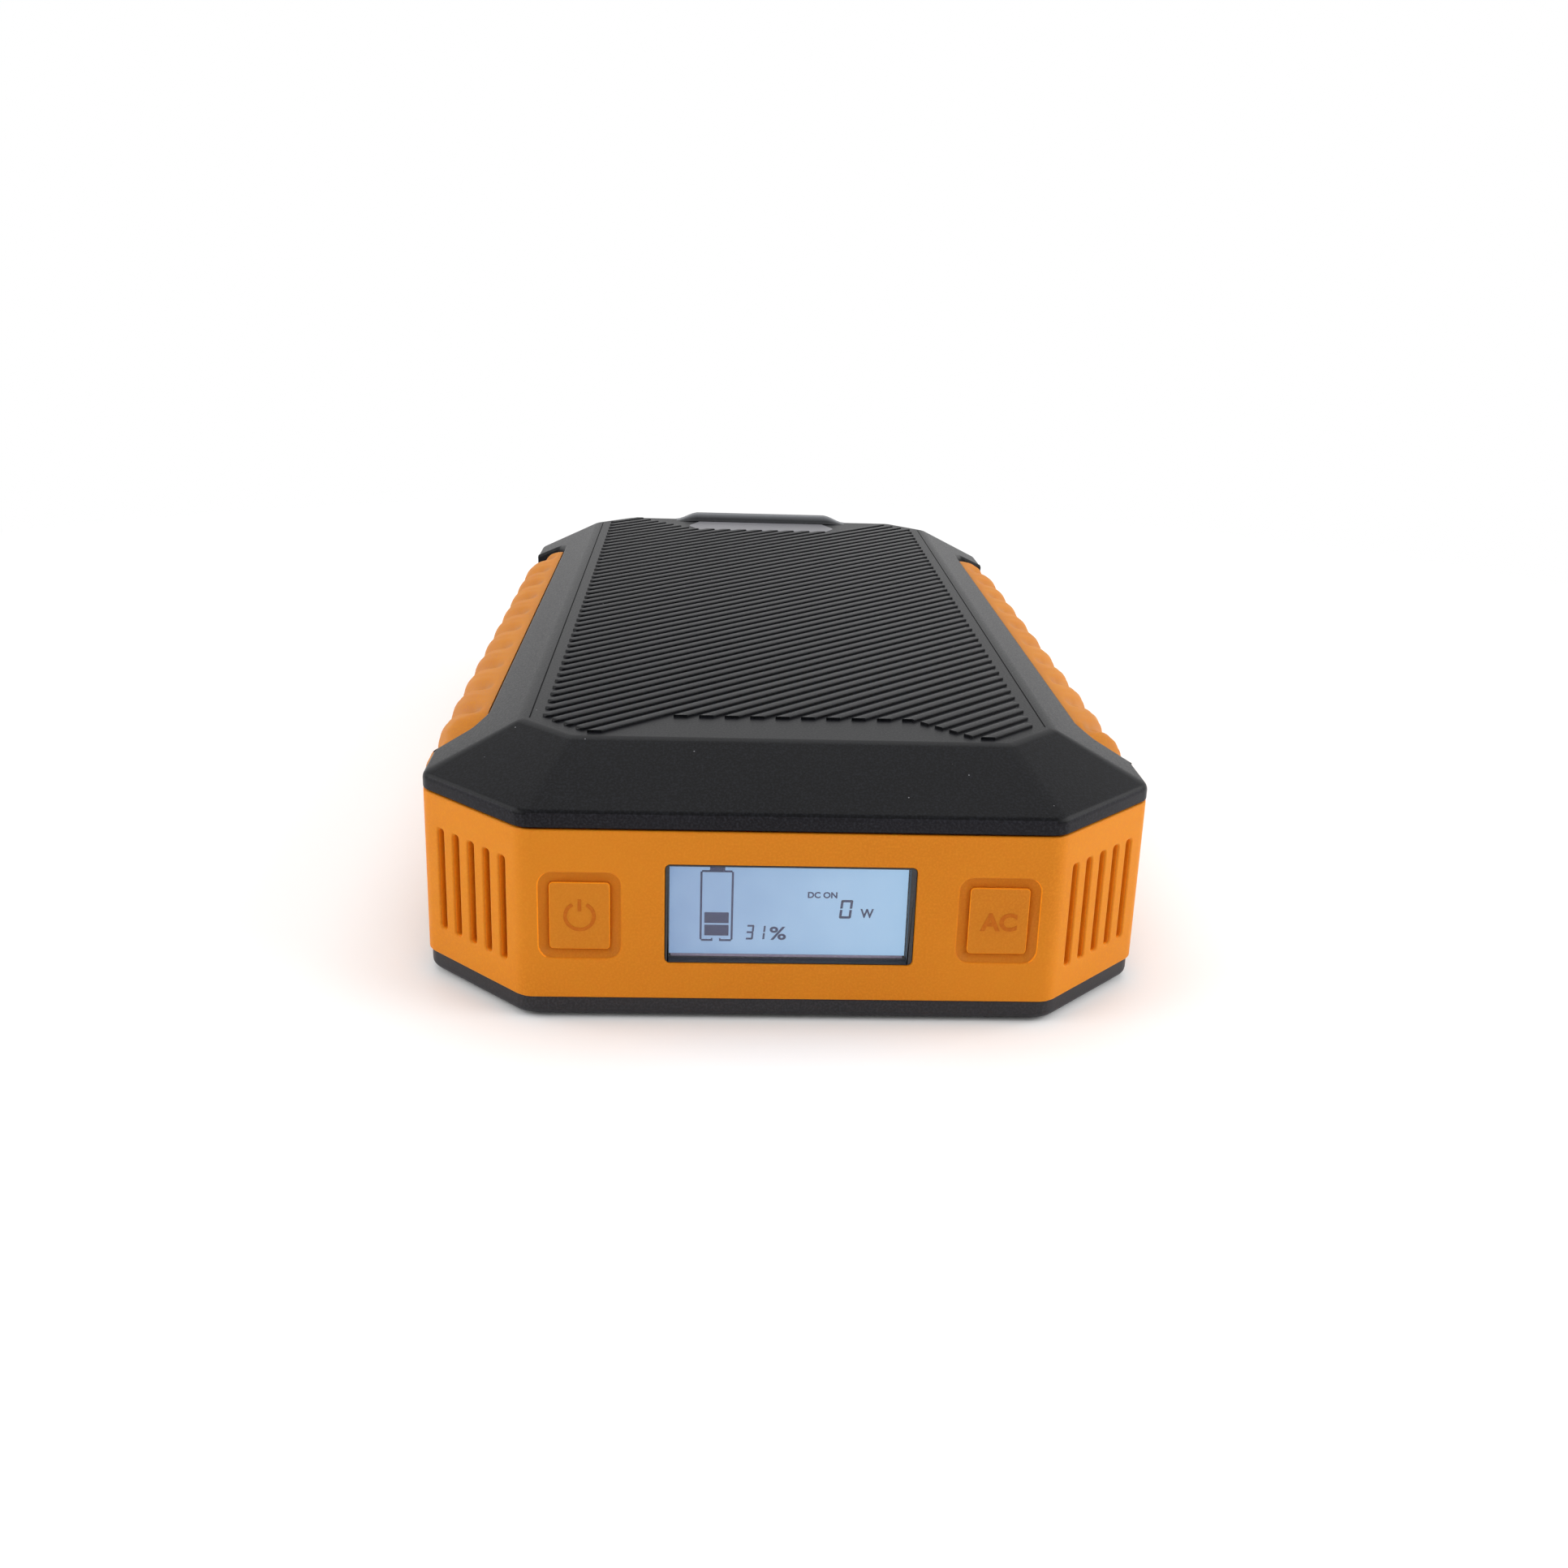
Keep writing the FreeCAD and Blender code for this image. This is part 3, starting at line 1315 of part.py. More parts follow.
def make_dc_jacks():
    """Two round barrel jacks with centre pins."""
    jacks, pins = [], []
    for number, level in enumerate(("jack_upper", "jack_lower")):
        base = ("plate_centre", "port_front", level)
        outer = rod(f"jack_outer_{number}", "Y", base, "jack_radius", "port_depth - 0.6")
        bore = rod(f"jack_bore_{number}", "Y", ("plate_centre", "port_front + 5", level),
                   "jack_bore", "port_depth")
        jacks.append(cut(f"dc_jack_{number}", outer, bore))
        pins.append(rod(f"jack_pin_{number}", "Y", ("plate_centre", "port_front + 5", level),
                        "jack_pin", "port_depth - 7.5"))
    return [group("dc_jacks", jacks), group("dc_jack_pins", pins)]


# ---------------------------------------------------------------------------
# Internal leads
# ---------------------------------------------------------------------------


def lead(points, radius, bend):
    """A round lead along straight runs joined by tangent arcs of one bend radius."""
    edges = []
    start = points[0]
    for before, corner, after in zip(points, points[1:], points[2:]):
        into = (corner - before).normalize()
        out = (after - corner).normalize()
        turn = into.getAngle(out)
        back = bend * math.tan(turn / 2)
        first, last = corner - into * back, corner + out * back
        swell = (out - into).normalize()
        centre = corner + swell * (bend / math.cos(turn / 2))
        middle = centre - swell * bend
        edges += [Part.makeLine(start, first), Part.Arc(first, middle, last).toShape()]
        start = last
    edges.append(Part.makeLine(start, points[-1]))
    path = Part.Wire(edges)
    ring = Part.Wire(Part.makeCircle(radius, points[0], points[1] - points[0]))
    return path.makePipeShell([ring], True, True)


def place(x, y, z):
    """A point from three formulas."""
    return Vector(value(x), value(y), value(z))


def make_leads():
    """Battery, outlet and fan leads, each held at both ends."""
    radius = value("lead_radius")
    battery = []
    gutter = "pack_left - fit_gap - board_thickness - lead_radius"
    for number in range(2):
        level = f"pack_top - 9 - {number} * 6"
        rear = f"pack_back + 4 + {number} * 4"
        across = f"lane_middle + 1 + {number} * 4.5"
        battery.append(lead([
            place(gutter, "bms_length / 2 - 14", level), place(gutter, rear, level),
            place(across, rear, level), place(across, rear, "inverter_high + lead_radius"),
            place(across, "pack_back - 12", "inverter_high + lead_radius"),
        ], radius, 3.0 if number else 3.2))
    outlet = []
    for number, (x, z) in enumerate(blade_places()[:2]):
        side = "lane_middle - 7" if number else "lane_middle - 4"
        end_x = f"{x} + terminal_thickness / 2 + lead_radius"
        outlet.append(lead([
            place(side, "pack_back - 10", "inverter_high + lead_radius"),
            place(side, f"pack_back + 13 - {number} * 4", "inverter_high + lead_radius"),
            place(end_x, f"pack_back + 13 - {number} * 4", "inverter_high + lead_radius"),
            place(end_x, f"pack_back + 13 - {number} * 4", z),
            place(end_x, "outlet_back - 1", z),
        ], radius, 2.6))
    fan = []
    for number in range(2):
        x = f"lane_middle - 6 + {number} * 2"
        fan.append(lead([
            place(x, "pack_front + fan_depth", "floor_top + 0.8 + fan_lead_radius"),
            place(x, "pack_front + fan_depth + 3", "floor_top + 0.8 + fan_lead_radius"),
            place(x, "pack_front + fan_depth + 3", "inverter_high + fan_lead_radius"),
            place(x, "inverter_front + 3", "inverter_high + fan_lead_radius"),
        ], value("fan_lead_radius"), 1.4))
    nodes = []
    for label, solids in (("battery_leads", battery), ("outlet_leads", outlet), ("fan_leads", fan)):
        node = doc.addObject("Part::Feature", label)
        node.Shape = Part.makeCompound(solids)
        nodes.append(node)
    return nodes


def make_display_ribbon():
    """Flat ribbon from the control board over the fan to the inverter board."""
    over = "floor_top + fan_side + fit_gap"
    thick = "ribbon_thickness"
    plug = "control_high - 6"
    rise = "pack_front - 4"
    fall = "pack_front + fan_depth + 2.5"
    outline = [
        ("control_back", plug),
        (rise, plug),
        (rise, over),
        (f"{fall} - {thick}", over),
        (f"{fall} - {thick}", "inverter_high"),
        ("inverter_front + 6", "inverter_high"),
        ("inverter_front + 6", f"inverter_high + {thick}"),
        (fall, f"inverter_high + {thick}"),
        (fall, f"{over} + {thick}"),
        (f"{rise} - {thick}", f"{over} + {thick}"),
        (f"{rise} - {thick}", f"{plug} + {thick}"),
        ("control_back", f"{plug} + {thick}"),
    ]
    return prism("display_ribbon", "X", "lane_middle - 2", "lane_middle - 2 + ribbon_width",
                 [outline])


# ---------------------------------------------------------------------------
# Assembly
# ---------------------------------------------------------------------------

right_face = "pack_right - card_thickness - strip_thickness"
left_face = "pack_left + card_thickness + strip_thickness"

nodes = [
    make_bottom_shell(), make_mid_frame(), make_top_cover(),
    make_front_panel(), make_rear_panel(),
    *make_grips(),
    make_rubber_feet(), make_case_screws(),
    make_display_bezel(), make_display_lens(),
    make_display_layer("lcd_glass", "glass_front", "glass_front + glass_thickness"),
    make_display_layer("backlight", "glass_front + glass_thickness", "control_front"),
    make_control_board(), make_board_screws(),
    make_button("power_button", -1), make_plunger("power_plunger", -1), make_switch("power_switch", -1),
    make_button("ac_button", 1), make_plunger("ac_plunger", 1), make_switch("ac_switch", 1),
    make_battery_cells(),
    make_cell_holder("cell_holder_left", left_face),
    make_cell_holder("cell_holder_right", f"{right_face} - holder_depth"),
    make_nickel_strips("nickel_strips_left", "pack_left + card_thickness"),
    make_nickel_strips("nickel_strips_right", right_face),
    make_flat_sheet("insulation_card_left", ("pack_left", "pack_front", "pack_bottom"),
                    ("pack_left + card_thickness", "pack_back", "pack_top")),
    make_flat_sheet("insulation_card_right", ("pack_right - card_thickness", "pack_front", "pack_bottom"),
                    ("pack_right", "pack_back", "pack_top")),
    make_flat_sheet("foam_pad_bottom", ("pack_left", "pack_front", "floor_top"),
                    ("pack_right", "pack_back", "pack_bottom")),
    make_flat_sheet("foam_pad_top", ("-top_half + fit_gap", "pack_front", "pack_top"),
                    ("pack_right", "pack_back", "roof_low")),
    *make_bms(),
    make_fan_frame(), make_fan_rotor(), make_inverter_board(),
    *make_transformer(), *make_heatsink(), *make_board_parts(),
    make_ac_outlet(), make_outlet_terminals(),
    make_port_board("usb_board", -1), make_port_board("dc_board", 1),
    make_port_plate("port_plate_left", -1,
                    [rectangle("-plate_centre", level, f"{width} + 0.4", f"{height} + 0.4")
                     for width, height, level in usb_sockets()]),
    make_port_plate("port_plate_right", 1,
                    rounds=[("plate_centre", level, "jack_radius + fit_gap")
                            for level in ("jack_upper", "jack_lower")]),
    *make_usb_ports(), *make_dc_jacks(),
    *make_leads(), make_display_ribbon(),
]

doc.recompute()

broken = [thing.Name for thing in doc.Objects
          if "Invalid" in thing.State or "Error" in thing.State]
if broken:
    raise SystemExit("failed objects: " + ", ".join(broken))
for node in nodes:
    if node.Shape.isNull() or not node.Shape.isValid():
        raise SystemExit("bad shape: " + node.Label)

os.makedirs("parts", exist_ok=True)
for node in nodes:
    node.Shape.exportStep(os.path.join("parts", node.Label + ".step"))
    solids = node.Shape.Solids
    print(f"{node.Label}: {len(solids)} solid(s), {sum(s.Volume for s in solids) / 1000:.2f} cm3")
print("case half width", value("half_width"), "half length", value("half_length"),
      "top", value("case_top"))
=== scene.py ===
# %% [markdown]
# # A slim camping power station
# The CAD model gives every part its place and size. This lesson dresses that model: it rounds the
# moulded edges, grows the ribs and the rope-like grips, and gives each part the finish of its
# real plastic, rubber or metal. Lengths are in metres, the front faces -Y, and Z is up.

# %% Load the frame
import math

import bmesh
import bpy
from mathutils import Matrix, Vector


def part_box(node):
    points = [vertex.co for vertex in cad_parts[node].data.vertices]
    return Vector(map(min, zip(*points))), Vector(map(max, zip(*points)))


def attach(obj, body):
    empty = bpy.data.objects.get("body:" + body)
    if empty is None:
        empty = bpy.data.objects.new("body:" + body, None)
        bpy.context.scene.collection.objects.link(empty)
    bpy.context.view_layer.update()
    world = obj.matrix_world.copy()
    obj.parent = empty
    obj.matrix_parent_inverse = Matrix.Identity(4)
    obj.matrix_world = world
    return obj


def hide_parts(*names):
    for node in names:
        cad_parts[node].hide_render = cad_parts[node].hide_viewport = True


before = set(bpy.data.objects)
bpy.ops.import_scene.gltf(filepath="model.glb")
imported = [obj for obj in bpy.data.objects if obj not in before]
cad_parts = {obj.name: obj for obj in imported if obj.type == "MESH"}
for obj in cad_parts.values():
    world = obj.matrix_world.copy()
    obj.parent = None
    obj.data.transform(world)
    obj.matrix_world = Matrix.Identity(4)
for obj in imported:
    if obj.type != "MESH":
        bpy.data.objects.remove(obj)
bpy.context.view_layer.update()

# %% [markdown]
# ## Sizes
# Most sizes are read from the boxes of the CAD parts, so the dressing fits them. The rest are the
# maker's own numbers for the case, such as how much each corner is cut off.

# %% Read the sizes
MM = 0.001
skin_low, skin_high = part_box("rear_panel")
lid_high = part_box("top_cover")[1]
grip_low, grip_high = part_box("grip_right")
half_width = skin_high.x
half_length = skin_high.y
skin_bottom = skin_low.z
skin_top = skin_high.z
lid_gap = 0.3 * MM
rim_height = 2.6 * MM
rim_bottom = skin_top + lid_gap
rim_top = rim_bottom + rim_height
hood_height = 2.0 * MM
case_top = lid_high.z - hood_height
seat_gap = 0.15 * MM
notch_room = 0.3 * MM
waist_half = grip_low.x - seat_gap
notch_half = grip_high.y + notch_room
corner_cut = 18.5 * MM
bevel_side = 16.3 * MM
bevel_end = 14.2 * MM
top_half = half_width - bevel_side
top_length = half_length - bevel_end
top_cut = 9.2 * MM
print("half width", round(half_width, 4), "half length", round(half_length, 4), "top", round(case_top, 4))

# %% [markdown]
# ## Drawing outlines
# The case is an octagon seen from above, and its windows are rounded rectangles. Small helpers
# make such outlines as lists of points, and put an arc in each corner, because no moulded part
# has a knife-sharp corner.


# %% Outline helpers
def octagon(wide, long, cut):
    """A rectangle of two half sizes with its corners cut off, counterclockwise."""
    right = [(wide - cut, -long), (wide, -long + cut), (wide, long - cut), (wide - cut, long)]
    left = [(-x, -y) for x, y in right]
    return [Vector(point) for point in right + left]


def rectangle(centre_x, centre_y, width, height):
    """Four corners of a rectangle, counterclockwise."""
    across = width / 2
    up = height / 2
    corners = [(-across, -up), (across, -up), (across, up), (-across, up)]
    return [Vector((centre_x + x, centre_y + y)) for x, y in corners]


def rounded(outline, radius, steps=5):
    """The outline with an arc of the radius in each corner; a list gives one radius a corner."""
    radii = radius if isinstance(radius, list) else [radius] * len(outline)
    result = []
    for number, corner in enumerate(outline):
        before = (outline[number - 1] - corner).normalized()
        after = (outline[(number + 1) % len(outline)] - corner).normalized()
        half = before.angle(after) / 2
        bow = radii[number]
        middle = corner + (before + after).normalized() * (bow / math.sin(half))
        start = corner + before * (bow / math.tan(half)) - middle
        end = corner + after * (bow / math.tan(half)) - middle
        turn = start.angle_signed(end) if bow else 0.0
        for step in range(steps + 1):
            angle = -turn * step / steps
            x = start.x * math.cos(angle) - start.y * math.sin(angle)
            y = start.x * math.sin(angle) + start.y * math.cos(angle)
            result.append(middle + Vector((x, y)))
    return result


# %% [markdown]
# ## From outline to solid
# A loft joins rings of points with faces and closes both ends. `carve` cuts one solid with
# others, and `soften` rounds only the edges that it is told to, each by its own share of the
# width. Both leave plain mesh behind, with no modifier on it. A few short helpers for numbers and
# materials come first, because many cells share them.


# %% Solid helpers
def clamped(value):
    """The value, held between 0 and 1."""
    return min(max(value, 0.0), 1.0)


def eased(share):
    """A soft step from 0 to 1, level at both ends."""
    return share * share * (3 - 2 * share)


def painted_with(piece, *finishes):
    """Gives a piece these materials and no others."""
    piece.data.materials.clear()
    for material in finishes:
        piece.data.materials.append(material)
    return piece


def made(name, work):
    """A piece from a bmesh, which is used up."""
    mesh = bpy.data.meshes.new(name)
    work.to_mesh(mesh)
    work.free()
    piece = bpy.data.objects.new(name, mesh)
    bpy.context.scene.collection.objects.link(piece)
    return piece


def solid(name, work):
    """A closed piece from a bmesh, with its doubles merged and its faces turned outwards."""
    bmesh.ops.remove_doubles(work, verts=work.verts, dist=1e-7)
    bmesh.ops.recalc_face_normals(work, faces=work.faces)
    return made(name, work)


def loft(name, rings):
    """A closed solid through rings that have the same number of points."""
    work = bmesh.new()
    rows = [[work.verts.new(point) for point in ring] for ring in rings]
    for low, high in zip(rows, rows[1:]):
        for number in range(len(low)):
            after = (number + 1) % len(low)
            work.faces.new((low[number], low[after], high[after], high[number]))
    work.faces.new(list(reversed(rows[0])))
    work.faces.new(rows[-1])
    return solid(name, work)


def flat_ring(outline, z):
    """The outline as a ring of points at one height."""
    return [Vector((p.x, p.y, z)) for p in outline]


def upright(name, outline, low, high):
    """A solid that stands on a plan outline."""
    return loft(name, [flat_ring(outline, z) for z in (low, high)])


def through(name, outline, front, back):
    """A solid that runs along Y behind an outline drawn on the front."""
    return loft(name, [[Vector((p.x, y, p.y)) for p in outline] for y in (front, back)])


def settle(piece):
    """Turns what a piece's modifiers make into its own plain mesh."""
    bpy.context.view_layer.update()
    shown = piece.evaluated_get(bpy.context.evaluated_depsgraph_get())
    mesh = bpy.data.meshes.new_from_object(shown)
    piece.modifiers.clear()
    piece.data = mesh
    return piece


def carve(piece, tools, operation="DIFFERENCE", solver="EXACT"):
    """Cuts, joins or trims a piece with tools, which are used up."""
    for tool in tools:
        modifier = piece.modifiers.new("carve", "BOOLEAN")
        modifier.operation = operation
        modifier.solver = solver
        modifier.object = tool
    settle(piece)
    for tool in tools:
        bpy.data.objects.remove(tool)
    return piece


def merged(name, pieces):
    """One piece from several closed solids."""
    work = bmesh.new()
    for piece in pieces:
        work.from_mesh(piece.data)
        bpy.data.objects.remove(piece)
    return made(name, work)


def soften(piece, width, share, segments=3, sharp=20, slices=()):
    """Rounds each sharp edge by the share of the width that share(middle of the edge) gives.
    Slices are places on X where flat faces are split, so that no face has a hole in it."""
    work = bmesh.new()
    work.from_mesh(piece.data)
    bmesh.ops.remove_doubles(work, verts=work.verts, dist=1e-6)
    bmesh.ops.dissolve_limit(work, angle_limit=math.radians(0.4), verts=work.verts, edges=work.edges)
    for place in slices:
        everything = work.verts[:] + work.edges[:] + work.faces[:]
        bmesh.ops.bisect_plane(work, geom=everything, dist=1e-7, plane_co=(place, 0, 0),
                               plane_no=(1, 0, 0))
    weight = work.edges.layers.float.new("bevel_weight_edge")
    for edge in work.edges:
        if len(edge.link_faces) == 2 and edge.calc_face_angle(0) > math.radians(sharp):
            edge[weight] = share((edge.verts[0].co + edge.verts[1].co) / 2)
    for face in work.faces:
        face.smooth = True
    work.to_mesh(piece.data)
    work.free()
    modifier = piece.modifiers.new("soft edges", "BEVEL")
    modifier.limit_method = "WEIGHT"
    modifier.width = width
    modifier.segments = segments
    modifier.harden_normals = True
    modifier.use_clamp_overlap = False
    return settle(piece)


# %% [markdown]
# ## Finishes
# A look is a small tree of nodes, so two helpers come first that add a node and wire its sockets.
# Moulded plastic is never one flat colour: it has a fine spark-eroded grain, a slow drift in tone
# and small changes in gloss. One helper builds such a finish from two noises on Object
# coordinates, so the pattern stays on the part when the part moves. Each finish below then only
# states its own colours, grain size and gloss.


# %% Finish helpers
def wired(tree, node, links):
    """The node, with sockets linked or set by name or number. A node stands for its first output."""
    for name, value in links.items():
        if isinstance(value, bpy.types.Node):
            value = value.outputs[0]
        if isinstance(value, bpy.types.NodeSocket):
            tree.links.new(value, node.inputs[name])
        else:
            node.inputs[name].default_value = value
    return node


def added(tree, kind, links, **settings):
    """A new node of the kind, with its settings and sockets."""
    node = tree.nodes.new(kind)
    for name, value in settings.items():
        setattr(node, name, value)
    return wired(tree, node, links)


def new_material(name):
    """A material with its tree and its shader."""
    material = bpy.data.materials.new(name)
    material.use_nodes = True
    return material, material.node_tree, material.node_tree.nodes["Principled BSDF"]


def colour(red, green, blue):
    """A colour written from 0 to 255, turned into Blender's linear light."""
    values = [channel / 255 for channel in (red, green, blue)]
    linear = [v / 12.92 if v <= 0.04045 else ((v + 0.055) / 1.055) ** 2.4 for v in values]
    return (*linear, 1.0)


def mapped(tree, source, low, high, to_low, to_high):
    """A node that turns the range low..high of its source into to_low..to_high."""
    return added(tree, "ShaderNodeMapRange", {"Value": source, "From Min": low, "From Max": high,
                                              "To Min": to_low, "To Max": to_high})


def blended(tree, share, first, second):
    """A colour socket between two colours or colour sockets."""
    node = added(tree, "ShaderNodeMix", {"Factor": share}, data_type="RGBA")
    for name, value in (("A", first), ("B", second)):
        socket = [s for s in node.inputs if s.name == name and s.type == "RGBA"][0]
        if isinstance(value, tuple):
            socket.default_value = value
        else:
            tree.links.new(value, socket)
    return [s for s in node.outputs if s.type == "RGBA"][0]


def finish(name, main, drift, speck, grain=2200, slow=45, rough=(0.5, 0.62), bump=0.12, depth=0.05,
           metallic=0.0, specular=0.5, alpha=1.0, stretch=(1, 1, 1), glow_through=0.0, dust=None):
    """A grained finish: a slow drift between two tones, specks, uneven gloss and a fine bump.
    Colours are written from 0 to 255. Soft rubber lets some light through; dust is the colour of a
    few stray flecks."""
    material, tree, shader = new_material(name)
    place = tree.nodes.new("ShaderNodeTexCoord")
    mapping = added(tree, "ShaderNodeMapping", {"Vector": place.outputs["Object"], "Scale": stretch})
    fine = added(tree, "ShaderNodeTexNoise", {"Vector": mapping, "Scale": grain, "Detail": 2.0})
    broad = added(tree, "ShaderNodeTexNoise", {"Vector": mapping, "Scale": slow, "Detail": 3.0})
    slow_share = mapped(tree, broad, 0.35, 0.65, 0, 1)
    fine_share = mapped(tree, fine, 0.42, 0.75, 0, 1)
    toned = blended(tree, slow_share, colour(*main), colour(*drift))
    specked = blended(tree, fine_share, toned, colour(*speck))
    if dust:
        flecks = added(tree, "ShaderNodeTexVoronoi", {"Vector": mapping, "Scale": 250})
        fleck_share = mapped(tree, flecks, 0.02, 0.035, 1, 0)
        specked = blended(tree, fleck_share, specked, colour(*dust))
    relief = added(tree, "ShaderNodeBump", {"Strength": bump, "Distance": depth * MM, "Height": fine})
    wired(tree, shader, {
        "Base Color": specked, "Roughness": mapped(tree, fine, 0.3, 0.7, *rough), "Normal": relief,
        "Metallic": metallic, "Specular IOR Level": specular, "Alpha": alpha,
        "Subsurface Weight": glow_through, "Subsurface Radius": (1.0, 0.35, 0.1),
        "Subsurface Scale": 1.2 * MM,
    })
    return material


def tinted(material, attribute, most, tint):
    """Let a number stored on the mesh blend a finish toward another colour."""
    tree = material.node_tree
    stored = added(tree, "ShaderNodeAttribute", {}, attribute_name=attribute)
    base = tree.nodes["Principled BSDF"].inputs["Base Color"]
    plain = base.links[0].from_socket
    share = mapped(tree, stored.outputs["Fac"], 0.1, 1.0, 0.0, most)
    tree.links.new(blended(tree, share, plain, colour(*tint)), base)


# %% [markdown]
# The outside has three kinds of finish: the black plastic of lid and base, with a fine pale
# speckle, the soft orange of the end skins and the buttons, and the orange rubber of the grips.
# Some parts of a piece get another tone as painted light or shade: a paler black on the lid's upright rim
# and a brighter orange on the walls of the vents as painted light, and a deeper orange on the floor of a
# trench as painted shade. The apron before the hood gets a pale grey as a painted sheen. Two finishes
# also read a number that their piece stores: a painted highlight along the crest of the hood and painted
# shade in the furrows of the grips.

# %% Outside finishes
GRAINED = {"grain": 2600, "rough": (0.3, 0.42), "bump": 0.3, "depth": 0.04}
SILICONE = {"grain": 2600, "bump": 0.15, "slow": 30, "specular": 0.15, "glow_through": 0.3}
lid_black = finish("lid_black", (8, 8, 10), (12, 12, 14), (26, 27, 31), **GRAINED, specular=0.085,
                   dust=(120, 120, 124))
# The lid's upright rim is painted a paler black, as painted light for the light that it catches.
rim_painted_light_black = finish("rim_painted_light_black", (23, 22, 25), (27, 26, 30), (42, 42, 47), **GRAINED, specular=0.085)
# The hood's black is lightened toward a pale grey along its crest, as a painted highlight.
hood_highlight_black = finish("hood_highlight_black", (12, 13, 16), (16, 17, 20), (29, 30, 35), **GRAINED, specular=0.13)
tinted(hood_highlight_black, "crest_highlight", 1.0, (112, 114, 118))
# Painted shade: the seam lines are near black, in place of the shade inside a hairline groove.
seam_painted_shade = finish("seam_painted_shade", (6, 6, 7), (5, 5, 6), (9, 9, 10), rough=(0.6, 0.7), specular=0.03)
# The apron's pale grey is a painted sheen on the same black plastic.
apron_painted_sheen = finish("apron_painted_sheen", (98, 97, 102), (90, 89, 94), (110, 109, 114), grain=2600,
                   rough=(0.3, 0.4), bump=0.1, depth=0.03, specular=0.45)
base_black = finish("base_black", (33, 32, 35), (37, 36, 39), (52, 51, 55), grain=2400,
                    rough=(0.4, 0.55), bump=0.3, depth=0.04, specular=0.25)
skin_orange = finish("skin_orange", (211, 127, 22), (205, 121, 18), (216, 134, 30), **SILICONE)
# Painted shade and light on the skins: a deeper orange for trench floors, a brighter one for the walls of
# the vents and the sides of the pads.
trench_painted_shade = finish("trench_painted_shade", (201, 116, 24), (196, 111, 20), (207, 123, 31), **SILICONE)
painted_light_orange = finish("painted_light_orange", (246, 148, 28), (242, 142, 24), (248, 155, 36), grain=2600,
                     bump=0.15, specular=0.1, glow_through=0.3)
pad_orange = finish("pad_orange", (203, 122, 23), (198, 116, 19), (208, 129, 31), **SILICONE)
grip_orange = finish("grip_orange", (185, 112, 17), (178, 105, 14), (191, 120, 24), grain=2400,
                     rough=(0.52, 0.66), bump=0.2, depth=0.06, slow=70, specular=0.2,
                     glow_through=0.3)
# Painted shade: the grip's furrows are darkened toward a brown by the number that the strand tree stores.
tinted(grip_orange, "furrow", 0.8, (140, 90, 44))
mark_orange = finish("mark_orange", (188, 99, 12), (182, 93, 10), (195, 106, 18), grain=1800,
                     rough=(0.55, 0.65), bump=0.1, specular=0.15)
print("lid", lid_black.name, "skins", skin_orange.name, "grips", grip_orange.name)

# %% [markdown]
# ## Finishes for the parts inside
# Circuit board, tinned steel, brass, winding tape and the rest each get their own tones, so that
# an opened or cut model shows what every part is made of. They are kept in one table under the
# slot names of the record.

